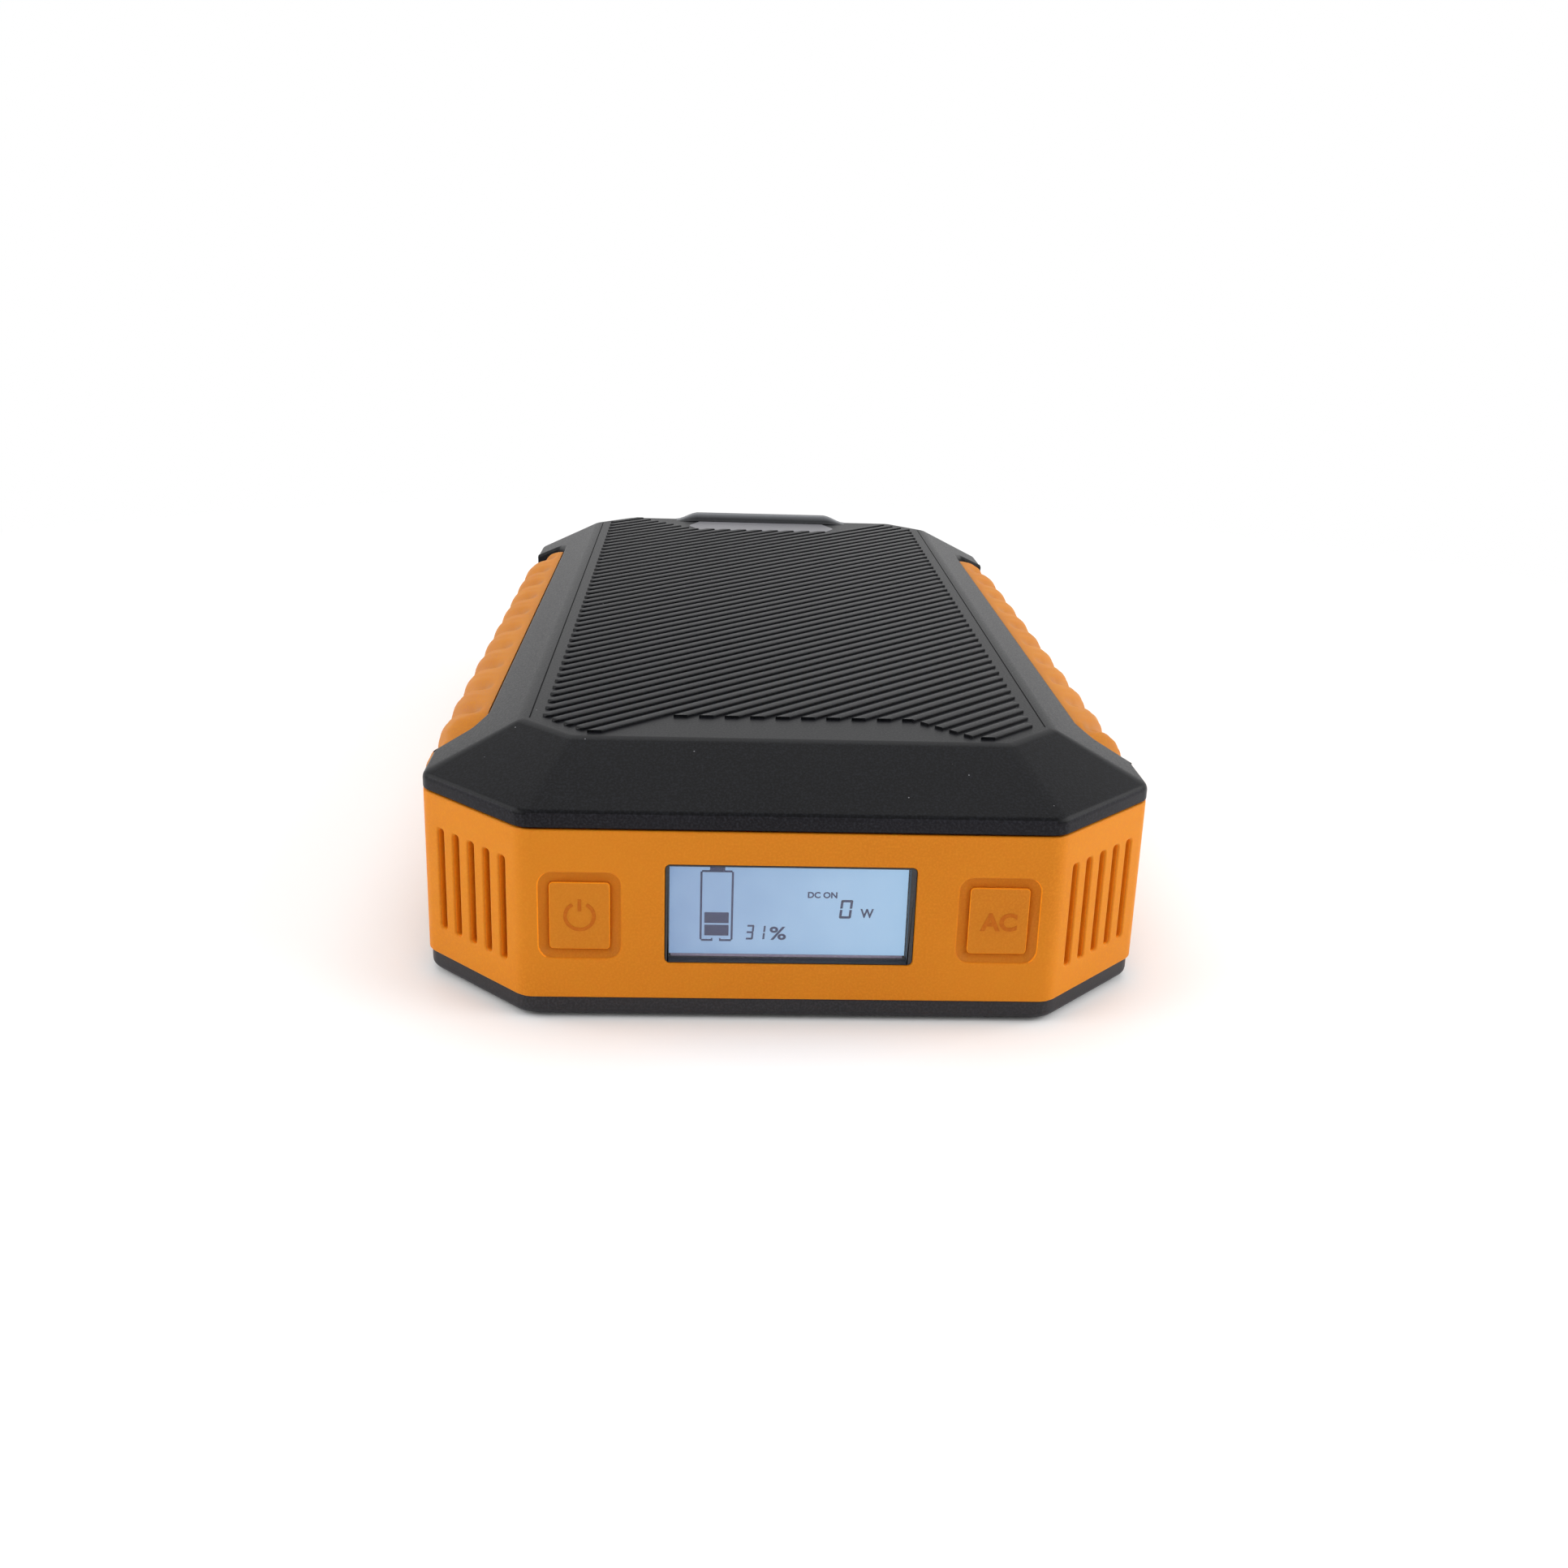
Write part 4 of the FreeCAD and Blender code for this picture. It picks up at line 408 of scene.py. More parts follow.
# %% Inside finishes
INSIDE = (
    ("foot_rubber", (38, 38, 39), (44, 44, 45), (58, 58, 60),
     {"grain": 1600, "rough": (0.72, 0.86), "bump": 0.35}),
    ("screw_steel", (150, 152, 156), (132, 134, 138), (178, 180, 184),
     {"grain": 900, "rough": (0.28, 0.42), "metallic": 1.0}),
    ("white_plastic", (232, 232, 228), (222, 222, 218), (242, 242, 240),
     {"rough": (0.4, 0.55), "bump": 0.08}),
    ("board_green", (26, 92, 52), (20, 78, 44), (52, 120, 76),
     {"grain": 700, "slow": 220, "rough": (0.32, 0.5), "bump": 0.25}),
    ("part_black", (30, 30, 32), (36, 36, 38), (52, 52, 55),
     {"grain": 1800, "rough": (0.42, 0.58), "bump": 0.2}),
    ("metal_tin", (190, 192, 195), (176, 178, 181), (206, 208, 210),
     {"grain": 600, "rough": (0.25, 0.4), "metallic": 1.0}),
    ("metal_aluminium", (188, 190, 193), (172, 174, 178), (206, 208, 211),
     {"grain": 900, "rough": (0.34, 0.5), "metallic": 1.0, "stretch": (1, 0.12, 1)}),
    ("metal_brass", (196, 160, 84), (180, 144, 70), (214, 182, 110),
     {"grain": 800, "rough": (0.28, 0.42), "metallic": 1.0}),
    ("cell_can", (96, 120, 104), (88, 110, 96), (112, 136, 120),
     {"grain": 500, "slow": 80, "rough": (0.3, 0.42), "bump": 0.05}),
    ("card_green", (150, 176, 158), (138, 164, 146), (170, 192, 176),
     {"grain": 500, "rough": (0.7, 0.85), "bump": 0.3}),
    ("foam_grey", (72, 72, 74), (62, 62, 64), (96, 96, 98),
     {"grain": 1100, "rough": (0.85, 0.95), "bump": 0.6, "depth": 0.15}),
    ("ferrite", (52, 50, 50), (46, 44, 44), (70, 68, 68),
     {"grain": 700, "rough": (0.5, 0.7), "bump": 0.3}),
    ("winding_tape", (206, 176, 60), (194, 162, 50), (220, 194, 84),
     {"grain": 400, "rough": (0.3, 0.45), "stretch": (1, 1, 6)}),
    ("winding_copper", (176, 92, 48), (156, 78, 38), (206, 122, 74),
     {"grain": 700, "rough": (0.25, 0.4), "metallic": 1.0}),
    ("capacitor_sleeve", (34, 46, 92), (28, 38, 80), (50, 64, 112),
     {"grain": 600, "rough": (0.28, 0.4), "bump": 0.05}),
    ("port_blue", (30, 84, 170), (26, 74, 154), (56, 108, 190),
     {"grain": 1500, "rough": (0.4, 0.55), "bump": 0.1}),
    ("lead_red", (168, 32, 28), (150, 26, 24), (190, 54, 48),
     {"grain": 900, "rough": (0.4, 0.55), "bump": 0.1}),
    ("lead_white", (222, 222, 218), (208, 208, 204), (236, 236, 232),
     {"grain": 900, "rough": (0.42, 0.56), "bump": 0.1}),
    ("ribbon_grey", (168, 168, 170), (150, 150, 152), (186, 186, 188),
     {"grain": 500, "rough": (0.45, 0.6), "stretch": (8, 1, 1)}),
    ("lcd_panel", (34, 28, 30), (28, 23, 25), (44, 38, 40),
     {"grain": 1500, "rough": (0.25, 0.35), "bump": 0.03}),
    ("clear_window", (236, 240, 242), (232, 236, 238), (240, 244, 246),
     {"rough": (0.05, 0.09), "bump": 0.0, "alpha": 0.07}),
)
FINISHES = {"shell_black": base_black, "lid_black": lid_black, "skin_orange": skin_orange,
            "grip_orange": grip_orange}
for name, main, drift, speck, settings in INSIDE:
    FINISHES[name] = finish(name, main, drift, speck, **settings)
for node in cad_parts.values():
    for place in node.material_slots:
        place.material = FINISHES[place.material.name.split(".")[0]]
print("finishes", len(FINISHES), "on", len(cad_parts), "CAD parts")


# %% [markdown]
# ## The camera
# The camera stands low in front of the station and a little to the left, and looks down along it.
# Its place and its three turns were worked out from the case's own sizes, so the perspective of
# the long lid comes out right.

# %% Set the camera
camera_place = Vector((-13.939, -363.787, 126.415)) * MM
pitch = math.radians(-19.044)
yaw = math.radians(2.857)
roll = math.radians(1.908)
ahead = Vector((math.sin(yaw) * math.cos(pitch), math.cos(yaw) * math.cos(pitch), math.sin(pitch)))
level_right = Vector((math.cos(yaw), -math.sin(yaw), 0))
level_up = level_right.cross(ahead)
right = level_right * math.cos(roll) + level_up * math.sin(roll)
up = level_up * math.cos(roll) - level_right * math.sin(roll)
camera = bpy.data.objects.new("camera", bpy.data.cameras.new("camera"))
camera.data.sensor_width = 36.0
camera.data.lens = 37.195
camera.data.clip_start = 0.01
camera.matrix_world = Matrix((right, up, -ahead)).transposed().to_4x4()
camera.location = camera_place
bpy.context.scene.collection.objects.link(camera)
bpy.context.scene.camera = camera
print("camera at", [round(n, 3) for n in camera.location])

# %% [markdown]
# ## Floor and background
# A pale floor carries the soft shadow. Further out it turns into plain white, so that it meets the
# white background without a line. The white is only for what the camera, a gloss or a glass sees:
# the light on the object stays at a plain level.


# %% Make the floor and the background
def seen_directly(tree):
    """A value that is 1 for camera, glossy and transmission rays."""
    path = tree.nodes.new("ShaderNodeLightPath")
    total = path.outputs["Is Camera Ray"]
    for name in ("Is Glossy Ray", "Is Transmission Ray"):
        total = added(tree, "ShaderNodeMath", {0: total, 1: path.outputs[name]}, operation="MAXIMUM")
    return total


FLOOR_REACH = 6.0
WHITE_FROM = 0.16
WHITE_BEYOND = 0.42
SOFT_SKY = 0.55
floor_edge = [Vector((x, y)) for x, y in ((-1, -1), (1, -1), (1, 1), (-1, 1))]
floor = upright("floor", [corner * FLOOR_REACH for corner in floor_edge], -20 * MM, 0)
floor_white, tree, matt = new_material("floor_white")
wired(tree, matt, {"Base Color": (0.93, 0.93, 0.93, 1), "Roughness": 0.8, "Specular IOR Level": 0.1})
plain = tree.nodes.new("ShaderNodeEmission")
place = tree.nodes.new("ShaderNodeTexCoord")
distance = added(tree, "ShaderNodeVectorMath", {0: place.outputs["Object"]}, operation="LENGTH")
far = mapped(tree, distance.outputs["Value"], WHITE_FROM, WHITE_BEYOND, 0.0, 1.0)
share = added(tree, "ShaderNodeMath", {0: far, 1: seen_directly(tree)}, operation="MULTIPLY")
both = added(tree, "ShaderNodeMixShader", {"Fac": share, 1: matt, 2: plain})
wired(tree, tree.nodes["Material Output"], {"Surface": both})
painted_with(floor, floor_white)

world = bpy.data.worlds.new("studio")
bpy.context.scene.world = world
world.use_nodes = True
tree = world.node_tree
lit = wired(tree, tree.nodes["Background"], {"Color": (1, 1, 1, 1), "Strength": SOFT_SKY})
white = added(tree, "ShaderNodeBackground", {"Color": (1, 1, 1, 1)})
either = added(tree, "ShaderNodeMixShader", {"Fac": seen_directly(tree), 1: lit, 2: white})
wired(tree, tree.nodes["World Output"], {"Surface": either})
bpy.context.scene.view_settings.view_transform = "Standard"
print("floor", FLOOR_REACH, "m, soft sky", SOFT_SKY)

# %% [markdown]
# ## Lamps
# Soft boxes stand above and at both sides, as in a small product studio. The sides are lit more
# than the front, which leaves the front skin a deeper orange than its two cut corners.


# %% Hang the lamps
def soft_box(name, place, target, width, height, power):
    """A rectangular area lamp that faces a target."""
    lamp = bpy.data.lights.new(name, "AREA")
    lamp.shape = "RECTANGLE"
    lamp.size = width
    lamp.size_y = height
    lamp.energy = power
    holder = bpy.data.objects.new(name, lamp)
    holder.location = place
    holder.rotation_euler = (Vector(target) - Vector(place)).to_track_quat("-Z", "Y").to_euler()
    bpy.context.scene.collection.objects.link(holder)
    return holder


AIM = (0, 0, 0.02)
for name, place, width, height, power in (("top_light", (0.0, 0.25, 0.9), 1.0, 1.0, 4.0),
                                          ("left_light", (-0.8, -0.15, 0.45), 0.9, 0.5, 4.3),
                                          ("right_light", (0.8, -0.15, 0.45), 0.9, 0.5, 5.6)):
    print("lamp", soft_box(name, place, AIM, width, height, power).name)

# %% [markdown]
# ## The lid
# The real lid is one black moulding: an upright rim, bevels that lean in to a flat top, and a cut
# at each side where a grip bulges out. Here a loft of three rounded octagons gives rim and bevels,
# two flared tools cut the sides, and a smaller loft hollows it. The edges are softened last,
# because a bevel on the joined shape keeps one even highlight all the way round. The upright rim
# catches more light than the bevels over it, so it gets a slightly paler black of its own.

# %% Shape the lid
rim_round = 4.0 * MM
top_round = 2.4 * MM
lid_wall = 2.4 * MM
frame_wall = 2.0 * MM
end_wall = 4.7 * MM
room_floor = 20 * MM
space_floor = 25 * MM
lid_edge_round = 0.9 * MM
lid_edge_share = 0.25
flare_out = 2.2 * MM
flare_back = 3.2 * MM
flare_bows = (0.0, 0.8 * MM, 2.5 * MM, 5.0 * MM)
waist_blend = 5.5 * MM
clear_of_grip = 9 * MM
rim_outline = rounded(octagon(half_width, half_length, corner_cut), rim_round)
top_outline = rounded(octagon(top_half, top_length, top_cut), top_round)
lid = loft("lid", [flat_ring(rim_outline, rim_bottom), flat_ring(rim_outline, rim_top),
                   flat_ring(top_outline, case_top)])


def side_cut(side, low, high, shrink=0.0):
    """The flared tool that clears the lid's side for a grip."""
    beyond = half_width + clear_of_grip
    waist = waist_half + shrink
    flare = waist + flare_out
    start = notch_half - shrink
    corner = start - flare_back
    blend = corner - waist_blend
    half = [(beyond, start), (half_width, start), (flare, corner), (waist, blend)]
    outline = [Vector((side * x, -y)) for x, y in half]
    outline += [Vector((side * x, y)) for x, y in reversed(half)]
    return upright("side_cut", rounded(outline, [*flare_bows, *flare_bows[::-1]]), low, high)


inner_end = half_length - end_wall
room = upright("room", octagon(waist_half - frame_wall, inner_end, corner_cut), room_floor, case_top)
plan = octagon(half_width, half_length, corner_cut)
space = loft("space", [flat_ring(plan, space_floor), flat_ring(plan, rim_top - lid_wall),
                       flat_ring(octagon(top_half, top_length, top_cut), case_top - lid_wall)])
carve(space, [room], "INTERSECT")
side_cuts = [side_cut(side, rim_bottom - 1 * MM, case_top + 3 * MM) for side in (-1, 1)]
carve(lid, [space, *side_cuts])
print("lid", [round(n / MM, 1) for n in lid.dimensions])


# %% [markdown]
# A hairline seam runs along each side of the top, a little inside the edge. It is thinner than any edge's
# rounding, so instead of being cut it is laid in as a dark line, painted shade that stands in for the
# shade in the groove.

# %% Soften the lid and lay in the seams
seam_x = 44.7 * MM
seam_width = 0.24 * MM
seam_length = 191 * MM
seam_rise = 0.015 * MM
seam_sink = 0.2 * MM
inner_half = waist_half - 1.9 * MM
inner_length = half_length - 4 * MM
inner_top = case_top - lid_wall + 0.1 * MM


def lid_softness(spot):
    """How much of the full rounding an edge of the lid gets."""
    if spot.z < rim_bottom + 0.05 * MM:
        return lid_edge_share
    if abs(spot.x) < inner_half and abs(spot.y) < inner_length and spot.z < inner_top:
        return 0.0
    return 1.0


soften(lid, lid_edge_round, lid_softness, segments=4, slices=(0,))
seams = []
for side in (-1, 1):
    line = rectangle(side * seam_x, 0, seam_width, seam_length)
    seams.append(upright("seam", line, case_top - seam_sink, case_top + seam_rise))
seam_lines = painted_with(merged("seam_lines", seams), seam_painted_shade)
print("lid faces", len(lid.data.polygons))

# %% [markdown]
# ## Geometry Nodes helpers
# Ribs, vents and strands repeat, so they are grown by Geometry Nodes: a small tree takes a seed
# mesh and named sizes, and its result is then kept as plain mesh.


# %% Node helpers
def new_tree(name, inputs):
    """A geometry tree with named inputs; returns it with what it is given and its result."""
    tree = bpy.data.node_groups.new(name, "GeometryNodeTree")
    tree.interface.new_socket("Geometry", in_out="INPUT", socket_type="NodeSocketGeometry")
    for label, kind in inputs:
        tree.interface.new_socket(label, in_out="INPUT", socket_type="NodeSocket" + kind)
    tree.interface.new_socket("Geometry", in_out="OUTPUT", socket_type="NodeSocketGeometry")
    given = tree.nodes.new("NodeGroupInput").outputs
    return tree, given, tree.nodes.new("NodeGroupOutput")


def finish_tree(tree, given, result, geometry):
    """Ends a tree: real geometry that wears the finish that the tree is given."""
    real = added(tree, "GeometryNodeRealizeInstances", {"Geometry": geometry})
    painted = added(tree, "GeometryNodeSetMaterial", {"Geometry": real, "Material": given["Finish"]})
    wired(tree, result, {"Geometry": painted})


def grow(name, seed, tree, values):
    """What the tree makes from the seed, as a plain piece; the seed is used up."""
    modifier = seed.modifiers.new(name, "NODES")
    modifier.node_group = tree
    for item in tree.interface.items_tree:
        if item.in_out == "INPUT" and item.name in values:
            modifier[item.identifier] = values[item.name]
    settle(seed)
    seed.name = name
    return seed


# %% [markdown]
# ## The ribs
# The top of the lid has slanting ribs, all the same distance apart. Their ends are round along the
# sides, and cut straight where the plain strips at the front and at the hood begin. Each rib is a
# line on the lid; the tree sweeps a rounded bar along it, and the line's own radius rounds the end.

# %% Lay out the rib lines
rib_pitch = 4.43 * MM
rib_width = 1.75 * MM
rib_height = 0.45 * MM
rib_rounding = 0.16 * MM
rib_phase = 1.7 * MM
rib_edge = top_half - 3.9 * MM
rib_end = top_length - 2.4 * MM
field_round = 5.2 * MM
BEND_SHARE = 0.293
rib_corner = top_cut - field_round * BEND_SHARE
bare_strip = 12.2 * MM
front_bare = top_length - bare_strip
front_half = 21.5 * MM
front_lean = 9.8 * MM
hood_start = half_length - 19.8 * MM
scoop_start = hood_start - bare_strip
scoop_half = 18.6 * MM
shortest_rib = 1.2 * MM
rib_trim = 3 * MM
field = [
    (front_half, -front_bare), (front_half + front_lean, -rib_end), (rib_edge - rib_corner, -rib_end),
    (rib_edge, -rib_end + rib_corner), (rib_edge, rib_end - rib_corner),
    (rib_edge - rib_corner, rib_end), (scoop_half + rib_end - scoop_start, rib_end),
    (scoop_half, scoop_start),
]
field += [(-x, y) for x, y in reversed(field)]


def rib_spans(shift):
    """The stretches of one slanting line that lie inside the rib field, as pairs of x."""
    hits = []
    for (ax, ay), (bx, by) in zip(field, field[1:] + field[:1]):
        start = ax - ay - shift
        end = bx - by - shift
        if start * end < 0:
            hits.append(ax + (bx - ax) * start / (start - end))
    hits.sort()
    return list(zip(hits[::2], hits[1::2]))


ROUND_END = ((0.0, 0.05), (0.1, 0.45), (0.3, 0.75), (0.6, 0.94), (1.0, 1.0))
CUT_END = ((-1.5, 1.0), (1.0, 1.0))
RIB_SEARCH = 40
work = bmesh.new()
swell = work.verts.layers.float.new("swell")
rib_count = 0
for number in range(-RIB_SEARCH, RIB_SEARCH):
    shift = (number + 0.5) * rib_pitch + rib_phase
    for start, end in rib_spans(shift):
        if end - start < shortest_rib:
            continue
        stations = []
        for x, way in ((start, 1), (end, -1)):
            at_side = abs(x) > rib_edge - rib_corner
            steps = ROUND_END if at_side else CUT_END
            near = [(x + way * step * rib_width / 2 / math.sqrt(2), size) for step, size in steps]
            stations.append(near if way > 0 else near[::-1])
        row = []
        for x, size in stations[0] + stations[1]:
            row.append(work.verts.new((x, x - shift, case_top)))
            row[-1][swell] = size
        for first, second in zip(row, row[1:]):
            work.edges.new((first, second))
        rib_count += 1
rib_lines = made("rib_lines", work)
print("ribs", rib_count)

# %% Grow the ribs
tree, given, result = new_tree("ribs_on_lines", [("Width", "Float"), ("Height", "Float"),
                                                 ("Rounding", "Float"), ("Finish", "Material")])
lines = added(tree, "GeometryNodeMeshToCurve", {"Mesh": given["Geometry"]})
swelling = added(tree, "GeometryNodeInputNamedAttribute", {"Name": "swell"}, data_type="FLOAT")
swell_size = swelling.outputs["Attribute"]
sized = added(tree, "GeometryNodeSetCurveRadius", {"Curve": lines, "Radius": swell_size})
upward = added(tree, "GeometryNodeSetCurveNormal", {"Curve": sized}, mode="Z_UP")
doubled = added(tree, "ShaderNodeMath", {0: given["Height"], 1: 2.0}, operation="MULTIPLY")
bar = added(tree, "GeometryNodeCurvePrimitiveQuadrilateral", {"Width": given["Width"], "Height": doubled})
soft_bar = added(tree, "GeometryNodeFilletCurve", {"Curve": bar, "Count": 3, "Radius": given["Rounding"]},
                 mode="POLY")
swept = added(tree, "GeometryNodeCurveToMesh", {"Curve": upward, "Profile Curve": soft_bar,
                                                "Fill Caps": True})
if "Scale" in swept.inputs:
    wired(tree, swept, {"Scale": swell_size})
finish_tree(tree, given, result, swept)
ribs = grow("ribs", rib_lines, tree, {"Width": rib_width, "Height": rib_height,
                                      "Rounding": rib_rounding, "Finish": lid_black})
trimmer = [Vector(spot) for spot in field[:2]] + [Vector((rib_edge + rib_trim, -rib_end))]
trimmer += [Vector((rib_edge + rib_trim, rib_end))] + [Vector(spot) for spot in field[6:8]]
trimmer += [Vector((-spot.x, spot.y)) for spot in reversed(trimmer)]
carve(ribs, [upright("rib_trimmer", trimmer, case_top - 2 * MM, case_top + 2 * MM)], "INTERSECT")
print("rib faces", len(ribs.data.polygons))


# %% [markdown]
# ## The hood
# A low hood stands over the outlets at the rear. Seen from the front it rises in a smooth S on both
# sides. Its section is worked out from that S and follows the lid down its rear bevel. Along its brow a
# paler crest is painted on as a painted highlight: each point of the mesh stores how much of it shows
# there, and the hood's finish reads that number.

# %% Shape the hood
hood_top_half = 18.0 * MM
hood_base_half = 24.5 * MM
hood_sink = 0.02 * MM
hood_wall = 1.6 * MM
hood_brow = 3.4 * MM
hood_edge_round = 0.5 * MM
foot_line = hood_start + 0.2 * MM
crest_start = foot_line + 0.4 * hood_brow
crest_top = foot_line + hood_brow
HOOD_COLUMNS = 40
HOOD_STEPS = 8


def hood_rise(x):
    """Height of the hood over the lid at a distance from the middle."""
    return hood_height * eased(clamped((hood_base_half - abs(x)) / (hood_base_half - hood_top_half)))


def hood_ring(y, level, grown=1.0):
    """One section of the hood, from its left foot over the top and back under the lid's skin."""
    places = [hood_base_half * (2 * step / HOOD_COLUMNS - 1) for step in range(HOOD_COLUMNS + 1)]
    over = [Vector((x, y, level + hood_rise(x) * grown - hood_sink)) for x in places]
    under = [Vector((x, y, level - hood_wall)) for x in reversed(places)]
    return over + under


hood_rings = []
for step in range(HOOD_STEPS + 1):
    share = step / HOOD_STEPS
    hood_rings.append(hood_ring(foot_line + hood_brow * share, case_top, eased(share)))
hood_rings.append(hood_ring(top_length, case_top))
hood_rings.append(hood_ring(half_length - 0.1 * MM, rim_top))
hood = loft("hood", hood_rings)
soften(hood, hood_edge_round, lambda spot: 1.0 if spot.z > case_top - 0.5 * MM else 0.0, sharp=25)
# Each point stores its share of the painted highlight along the brow.
crest_highlight = hood.data.attributes.new("crest_highlight", "FLOAT", "POINT")
for vertex in hood.data.vertices:
    y = vertex.co.y
    rise = (y - crest_start) / (crest_top - crest_start)
    fall = (top_length - y) / (top_length - crest_top)
    crest_highlight.data[vertex.index].value = clamped(min(rise, fall))
print("hood rises", round(hood_height / MM, 2), "mm over", round(hood_brow / MM, 2))

# %% [markdown]
# Between the last ribs and the hood lies a smooth satin apron. Its grey is painted far lighter than the
# grained lid, as a painted sheen. It is a thin plate with a soft edge, and its outline widens and narrows
# again like a flat lens.

# %% Lay the apron in front of the hood
apron_side = [(17.6, 88.4), (20.6, 94.2), (17.4, 101.4)]
apron_bows = [0.6 * MM, 3.0 * MM, 0.6 * MM]
apron_sink = 0.4 * MM
apron_rise = 0.1 * MM
apron_edge_round = 0.08 * MM
apron_outline = [Vector((x * MM, y * MM)) for x, y in apron_side]
apron_outline += [Vector((-spot.x, spot.y)) for spot in reversed(apron_outline)]
apron = upright("apron", rounded(apron_outline, apron_bows * 2), case_top - apron_sink,
                case_top + apron_rise)
soften(apron, apron_edge_round, lambda spot: 1.0 if spot.z > case_top else 0.0, segments=2)
# The apron wears the pale grey of the painted sheen.
painted_with(apron, apron_painted_sheen)
print("apron", [round(n / MM, 1) for n in apron.dimensions])

# %% [markdown]
# ## The two end skins
# Front and rear wear a soft orange skin that wraps the cut corners and ends at the grips. Each corner has
# five narrow vents. The slots are a repeated tool: one slot is placed by Geometry Nodes on a row of
# points, and the row is used to carve the skin. The walls of the vents are painted a brighter orange than
# the skin, as painted light in the narrow slots, and the floor of a trench a deeper orange, as painted
# shade.

# %% Tree that puts a pattern on points
tree, given, result = new_tree("pattern_on_points", [("Pattern", "Object"), ("Finish", "Material")])
pattern = added(tree, "GeometryNodeObjectInfo", {"Object": given["Pattern"]})
turning = added(tree, "GeometryNodeInputNamedAttribute", {"Name": "turn"}, data_type="FLOAT")
about_z = added(tree, "ShaderNodeCombineXYZ", {"Z": turning.outputs["Attribute"]})
placed = added(tree, "GeometryNodeInstanceOnPoints", {
    "Points": given["Geometry"], "Instance": pattern.outputs["Geometry"], "Rotation": about_z})
finish_tree(tree, given, result, placed)
pattern_tree = tree


def repeated(name, pattern_piece, places, paint):
    """Copies of a pattern at places, each a point and a turn about Z, as one plain piece."""
    seed_work = bmesh.new()
    turn = seed_work.verts.layers.float.new("turn")
    for point, angle in places:
        seed_work.verts.new(point)[turn] = angle
    piece = grow(name, made(name, seed_work), pattern_tree, {"Pattern": pattern_piece, "Finish": paint})
    bpy.data.objects.remove(pattern_piece)
    return piece


print("tree", pattern_tree.name, "with", len(pattern_tree.nodes), "nodes")

# %% Shape one end skin
vent_pitch = 4.13 * MM
vent_width = 1.55 * MM
vent_low = 9.4 * MM
vent_high = 27.8 * MM
vent_round = 0.55 * MM
vent_reach = 3.4 * MM
VENT_ROW = 5
skin_thickness = 2.6 * MM
skin_round = 4.4 * MM
CUT_SHARE = 0.5858


def vent_row(side):
    """The ten slots of one end, as a cutting tool."""
    tall = vent_high - vent_low
    slot = rounded(rectangle(0, (vent_low + vent_high) / 2, vent_width, tall), vent_round, 4)
    tool = through("vent_slot", slot, -vent_reach, vent_reach)
    places = []
    for hand in (-1, 1):
        for number in range(VENT_ROW):
            along = corner_cut / 2 + (number - VENT_ROW // 2) * vent_pitch / math.sqrt(2)
            spot = Vector((hand * (half_width - corner_cut + along), side * (half_length - along), 0))
            places.append((spot, -hand * side * math.radians(45)))
    return repeated("vent_row", tool, places, skin_orange)


def end_skin(name, side):
    """The skin of one end before its windows are cut."""
    wall = skin_thickness
    outer = octagon(half_width, half_length, corner_cut)[:2]
    inner = octagon(half_width - wall, half_length - wall, corner_cut - CUT_SHARE * wall)[:2]
    right = [Vector((half_width, -notch_half)), outer[1], outer[0]]
    back = [inner[0], inner[1], Vector((half_width - wall, -notch_half))]
    loop = right + [Vector((-p.x, p.y)) for p in reversed(right)]
    loop += [Vector((-p.x, p.y)) for p in reversed(back)] + back
    bows = [0.0, *[skin_round] * 4, 0.0, 0.0, *[skin_round - wall] * 4, 0.0]
    outline = [Vector((p.x, -side * p.y)) for p in rounded(loop, bows)]
    piece = upright(name, outline, skin_bottom, skin_top)
    return carve(piece, [vent_row(side)])


# %% [markdown]
# The front skin has a window for the display. Around each button it is thinned to a soft trench,
# which lets the pad move. The trench has round corners and wide soft shoulders.

# %% Carve the front skin
FRONT = -1
REAR = 1
pane_low, pane_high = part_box("display_bezel")
window_low = pane_low.z - 0.4 * MM
window_high = pane_high.z + 0.2 * MM
window_centre = (window_low + window_high) / 2
window_width = pane_high.x - pane_low.x + 0.3 * MM
window_height = window_high - window_low
window_round = 0.9 * MM
cut_before = 1 * MM
cut_behind = 4 * MM
button_centre = 34.45 * MM
button_level = 18.75 * MM
button_width = 9.9 * MM
button_height = 11.75 * MM
groove_width = 13.4 * MM
groove_height = 15.2 * MM
groove_depth = 0.38 * MM
groove_round = 2.3 * MM
pad_round = 0.7 * MM
pad_play = 0.06 * MM
window_reach = 21.5 * MM
trench_inner = 27 * MM
trench_outer = 42 * MM
trench_low = 10 * MM
trench_high = 27 * MM
front_edge_round = 0.8 * MM
front_slices = (-button_centre, -24 * MM, 0, 24 * MM, button_centre)
OPENING_SHARE = 0.4
CORNER_SHARE = 0.6
EDGE_SHARE = 0.45
front_skin = end_skin("front_skin", FRONT)
window = rounded(rectangle(0, window_centre, window_width, window_height), window_round, 4)
tools = [through("window", window, -half_length - cut_before, -half_length + cut_behind)]
for hand in (-1, 1):
    middle = hand * button_centre
    trench = rounded(rectangle(middle, button_level, groove_width, groove_height), groove_round, 6)
    hole = rounded(rectangle(middle, button_level, button_width + pad_play, button_height + pad_play),
                   pad_round, 6)
    tools.append(through("trench", trench, -half_length - cut_before, -half_length + groove_depth))
    tools.append(through("hole", hole, -half_length - cut_before, -half_length + cut_behind))
carve(front_skin, tools)


